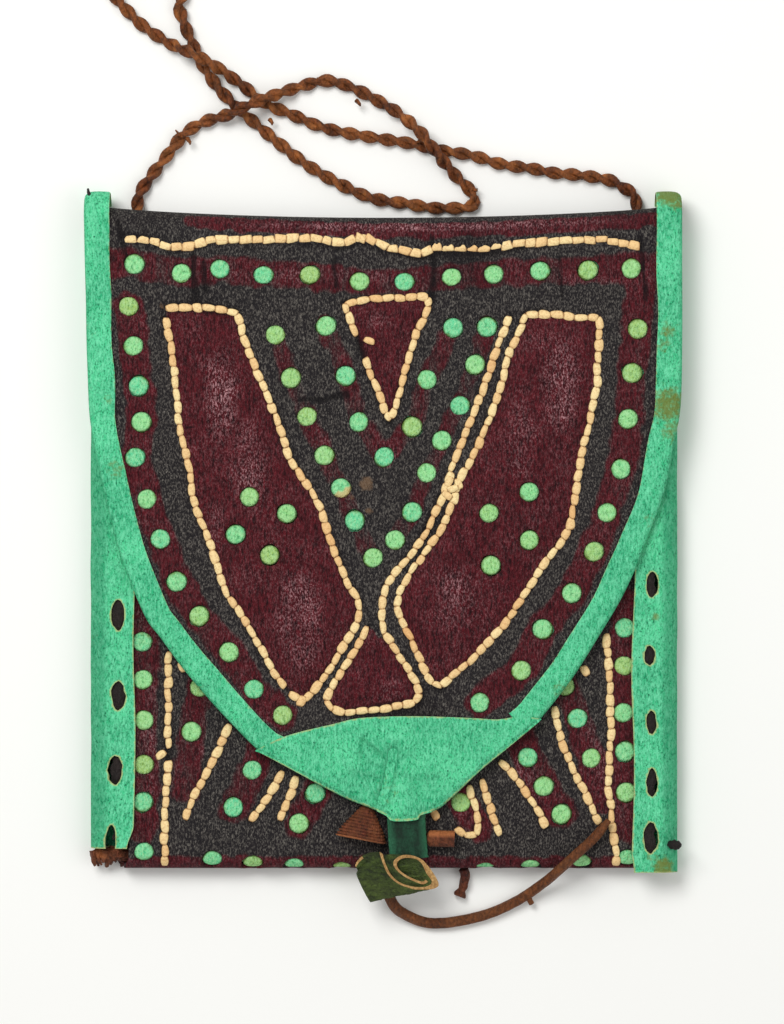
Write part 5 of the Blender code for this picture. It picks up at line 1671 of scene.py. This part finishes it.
def makeRoll():
    s = rollSettings

    def ringAt(t):
        # the three given rings blended along the roll
        weights = ((1 - t) * (1 - 2 * t), 4 * t * (1 - t), t * (2 * t - 1))
        centre, wide, tall = Vector(), Vector(), Vector()
        for weight, ((across, down, height), u, v) in zip(weights, s["rings"]):
            centre += weight * Vector((*at(across, down), height))
            wide += weight * Vector(u) * mm
            tall += weight * Vector(v) * mm
        return centre, wide, tall

    points, raw, faces, rawFaces = [], [], [], []
    along = s["stepsAlong"]
    for step in range(s["stepsAround"] + 1):
        # winds inwards from the free end at the upper left
        turn = s["turns"] * step / s["stepsAround"]
        angle = 2 * math.pi * turn + math.pi
        reach = 1 - s["pitch"] * turn + 0.22 * max(1 - turn / 0.14, 0) ** 2
        right = max(math.cos(angle - 0.5), 0) ** 2
        wall = s["wall"] * (1 + 1.5 * right * float(smoothStep(1.3, 1.0, turn)))
        end = 1.0 - 0.10 * float(smoothStep(0.5, 0.2, turn)) + 0.03 * math.sin(angle * 2.3 + 1)
        for layer in (0, 1):
            for place in range(along + 1):
                t = end * place / along
                centre, wide, tall = ringAt(t)
                square = 1 + 0.07 * math.cos(3 * angle + 0.8) * (1 - t)
                ridge = 0.012 * math.sin(t * 75 + 2 * noise.noise(Vector((angle * 0.7, t * 3, 1))))
                ridge += 0.03 * noise.noise(Vector((angle * 1.2, t * 9, 5)))
                share = reach * square + (ridge if layer == 0 else -wall)
                points.append(centre + (wide * math.cos(angle) + tall * math.sin(angle)) * share)
    row = along + 1
    for step in range(s["stepsAround"]):
        here, following = step * 2 * row, (step + 1) * 2 * row
        for place in range(along):
            faces.append([here + place, following + place, following + place + 1, here + place + 1])
            faces.append([here + row + place, here + row + place + 1,
                          following + row + place + 1, following + row + place])
        rawFaces.append([here + along, following + along, following + row + along, here + row + along])
        rawFaces.append([here, here + row, following + row, following])
    last = s["stepsAround"] * 2 * row
    for place in range(along):
        rawFaces.append([place, place + 1, row + place + 1, row + place])
        rawFaces.append([last + place, last + row + place, last + row + place + 1, last + place + 1])
    roll = meshPiece("strapRoll", points, faces + rawFaces)
    fixNormals(roll)
    roll.data.materials.append(oliveLeather)
    roll.data.materials.append(rawEdge)
    for index, face in enumerate(roll.data.polygons):
        face.material_index = 1 if index >= len(faces) else 0
    bevel = roll.modifiers.new("softRim", "BEVEL")
    bevel.width = 0.00016
    bevel.segments = 2
    bevel.limit_method = "ANGLE"
    bevel.angle_limit = math.radians(50)
    applyAll(roll)
    paintPlain(roll, "edge")
    roll.data.shade_smooth()
    pick(roll)
    bpy.ops.object.shade_smooth_by_angle(angle=math.radians(45))
    rideAndReplace(roll, "flap", "strap_roll")
    print("roll done", len(roll.data.polygons), "faces")


coneSettings = {"base": (361, 839), "apex": (368, 803), "halfWidth": 0.0062, "flat": 0.42, "windings": 12,
                "profile": [(0, 0.90), (0.03, 1.0), (0.3, 0.82), (0.6, 0.53), (0.85, 0.29), (1.0, 0.10)]}


def makeCone():
    s = coneSettings
    base, apex = Vector(at(*s["base"])), Vector(at(*s["apex"]))
    along = apex - base
    across = Vector((along.y, -along.x)).normalized()
    ground = frontTop + 0.0003
    rings, corners = 110, 56
    points, paleBaseAndRibHighlight = [], []
    shares = [share for share, _ in s["profile"]]
    reaches = [reach for _, reach in s["profile"]]
    for index in range(rings + 1):
        t = index / rings
        half = s["halfWidth"] * float(np.interp(t, shares, reaches))
        for corner in range(corners):
            angle = angleOf(corner, corners)
            phase = t * s["windings"] + 0.45 * math.sin(angle - 0.6) + 0.2 * math.sin(2 * angle)
            rib = abs(math.sin(math.pi * phase)) ** 0.6 - 0.55
            rough = noise.noise(Vector((angle * 2.2, t * 26, 6)))
            push = 1 + 0.11 * rib + 0.06 * rough
            centre = base + along * (t - 0.02 * math.cos(angle) ** 2)
            side = centre + across * half * push * math.cos(angle)
            points.append((side.x, side.y, ground + s["flat"] * half * (1 + math.sin(angle) * push)))
            # painted highlight on each rib's crest; paler at the base, more on one side
            paleBaseAndRibHighlight.append(min(1.0, 0.9 * smoothStep(0.07, 0.0, t) * (0.6 - 0.5 * math.cos(angle + 0.4))
                             + 0.30 * max(rib, 0)))
    cone = meshPiece("toggleCone", points, tubeFaces(rings + 1, corners))
    fixNormals(cone)
    paint(cone, "edge", paleBaseAndRibHighlight)
    dress(cone, brownLeather, 70)
    rideAndReplace(cone, "pouch", "toggle_cone")


def makeTail():
    # the toggle's other end: a small tight roll with its step along one side
    ground = frontTop + 0.0003
    way = smoothLine(spots3d([(396, 838, ground + 0.0016), (424, 838, ground + 0.0017),
                              (430, 838, ground + 0.0021), (454.5, 838.5, ground + 0.0022)]), 0.00025)
    start = at(427, 0)[0]

    def radiusAt(index, corner):
        angle = angleOf(corner, 30)
        thick = float(smoothStep(start, start + 0.0008, way[index].x))
        step = 0.16 * ((angle / (2 * math.pi) + 0.12) % 1)
        rough = 0.05 * noise.noise(Vector((way[index].x * 900, corner * 0.5, 2)))
        return 0.0012 + 0.0009 * thick + (0.0021 * thick) * (step - 0.08) + 0.0016 * rough

    tail = sweep("toggleTail", way, radiusAt, 30)
    fixNormals(tail)
    array = pointsOf(tail)
    # painted highlight: the thick part's upper side is painted paler, as if lit, through the edge attribute
    upper = smoothStep(at(0, 837.5)[1], at(0, 834)[1], array[:, 1])
    edge = upper * smoothStep(start, start + 0.0006, array[:, 0])
    paint(tail, "edge", 0.75 * edge)
    dress(tail, brownLeather, 50)
    rideAndReplace(tail, "pouch", "toggle_tail")
    stub = [(464, 871, 0.0030), (465.5, 879, 0.0020), (464, 888, 0.00150), (461.5, 894, 0.00150),
            (459.5, 899, 0.0016)]
    stubWay = smoothLine(spots3d(stub), 0.0003)

    def stubRadius(index, corner):
        share = index / len(stubWay)
        swell = 1 + 0.35 * math.exp(-((share - 0.9) / 0.09) ** 2)
        swell -= 0.25 * math.exp(-((share - 0.72) / 0.08) ** 2)
        return 0.00115 * swell * (1 + 0.14 * math.sin(corner * 2.1 + index * 0.30))

    thong = sweep("toggleThong", stubWay, stubRadius, 14)
    fixNormals(thong)
    paintPlain(thong, "edge")
    dress(thong, brownLeather, 60)
    rideAndReplace(thong, "pouch", "toggle_thong")
    print("toggle done")


thongFacts = {"diameter": 0.00275}
thongLow = thongFacts["diameter"] / 2 + 0.00005
thongRoute = [
    (389, 897, 0.0062), (394, 907, 0.0050), (402, 914.5, 0.0030), (421.5, 924, thongLow),
    (441, 926, thongLow), (469, 922, thongLow), (495, 914.5, thongLow), (521, 901.5, 0.0019),
    (546, 883, 0.0046), (560, 869.5, 0.0085), (572, 858, 0.0103), (593, 838.6, 0.0107),
    (609, 820, 0.0106)]


def makeThong():
    way = smoothLine(spots3d(thongRoute), 0.0004)
    for point in way:
        point.z = max(point.z, thongLow)
    total = len(way)
    radius = thongFacts["diameter"] / 2

    def radiusAt(index, corner):
        share = index / total
        taper = 1.0 - 0.14 * share - 0.35 * smoothStep(0.94, 1.0, share)
        angle = angleOf(corner, 16)
        grooves = 0.05 * math.sin(5 * angle + share * 9)
        grooves += 0.04 * noise.noise(Vector((share * 40, corner * 0.8, 3)))
        return radius * taper * (1 + grooves)

    thong = sweep("closureThong", way, radiusAt, 16)
    x, y = at(531, 901)
    nub = sweep("nub", [Vector((x - 0.0003, y + 0.0002, 0.0024)), Vector((x, y - 0.0006, 0.0023)),
                        Vector((x + 0.0004, y - 0.0013, 0.0021))], lambda index, corner: 0.0007, 8)
    thong = joinPieces([thong, nub], "closureThong")
    fixNormals(thong)
    paintPlain(thong, "edge")
    dress(thong, thongLeather, 60)
    rideAndReplace(thong, "flap", "closure_thong")


def makeTuft():
    # frayed brown ends at the lower left corner
    low3, high3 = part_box("corner_tuft")
    dice = random.Random(5)
    parts = [sweep("tuftBase", smoothLine(spots3d([(94, 853, 0.0035), (105, 856, 0.0042), (116, 855, 0.0046),
                                                   (126, 854, 0.0040)]), 0.0004),
                   lambda index, corner: 0.0017 * (1 + 0.25 * math.sin(corner * 2.3 + index * 0.7)), 12)]
    for strand in range(22):
        across = 92 + strand * 1.8
        lean = dice.uniform(-5, 5)
        drop = dice.uniform(10, 17)
        height = dice.uniform(0.0012, 0.0058)
        way = smoothLine(spots3d([(across, 852, height), (across + lean * 0.4, 852 + drop * 0.5, height),
                                  (across + lean, 852 + drop, max(height - 0.0012, 0.0008))]), 0.0005)
        thick = dice.uniform(0.0005, 0.0009)

        def strandRadius(index, corner, thick=thick, total=len(way)):
            return thick * (1.15 - 0.8 * index / total) * (1 + 0.2 * math.sin(corner * 3 + index))

        parts.append(sweep("tuftStrand", way, strandRadius, 7))
    tuft = joinPieces(parts, "cornerTuft")
    fixNormals(tuft)
    array = pointsOf(tuft)
    array[:, 2] = np.clip(array[:, 2], 0.0002, high3.z + 0.0008)
    setPoints(tuft, array)
    paint(tuft, "edge", 0.6 * smoothStep(0.3, 0.6, waves(array, 300, 3.1)))
    dress(tuft, brownLeather, 60)
    rideAndReplace(tuft, "pouch", "corner_tuft")
    print("tuft done")


makeStrap()
makeRoll()
makeCone()
makeTail()
makeThong()
makeTuft()
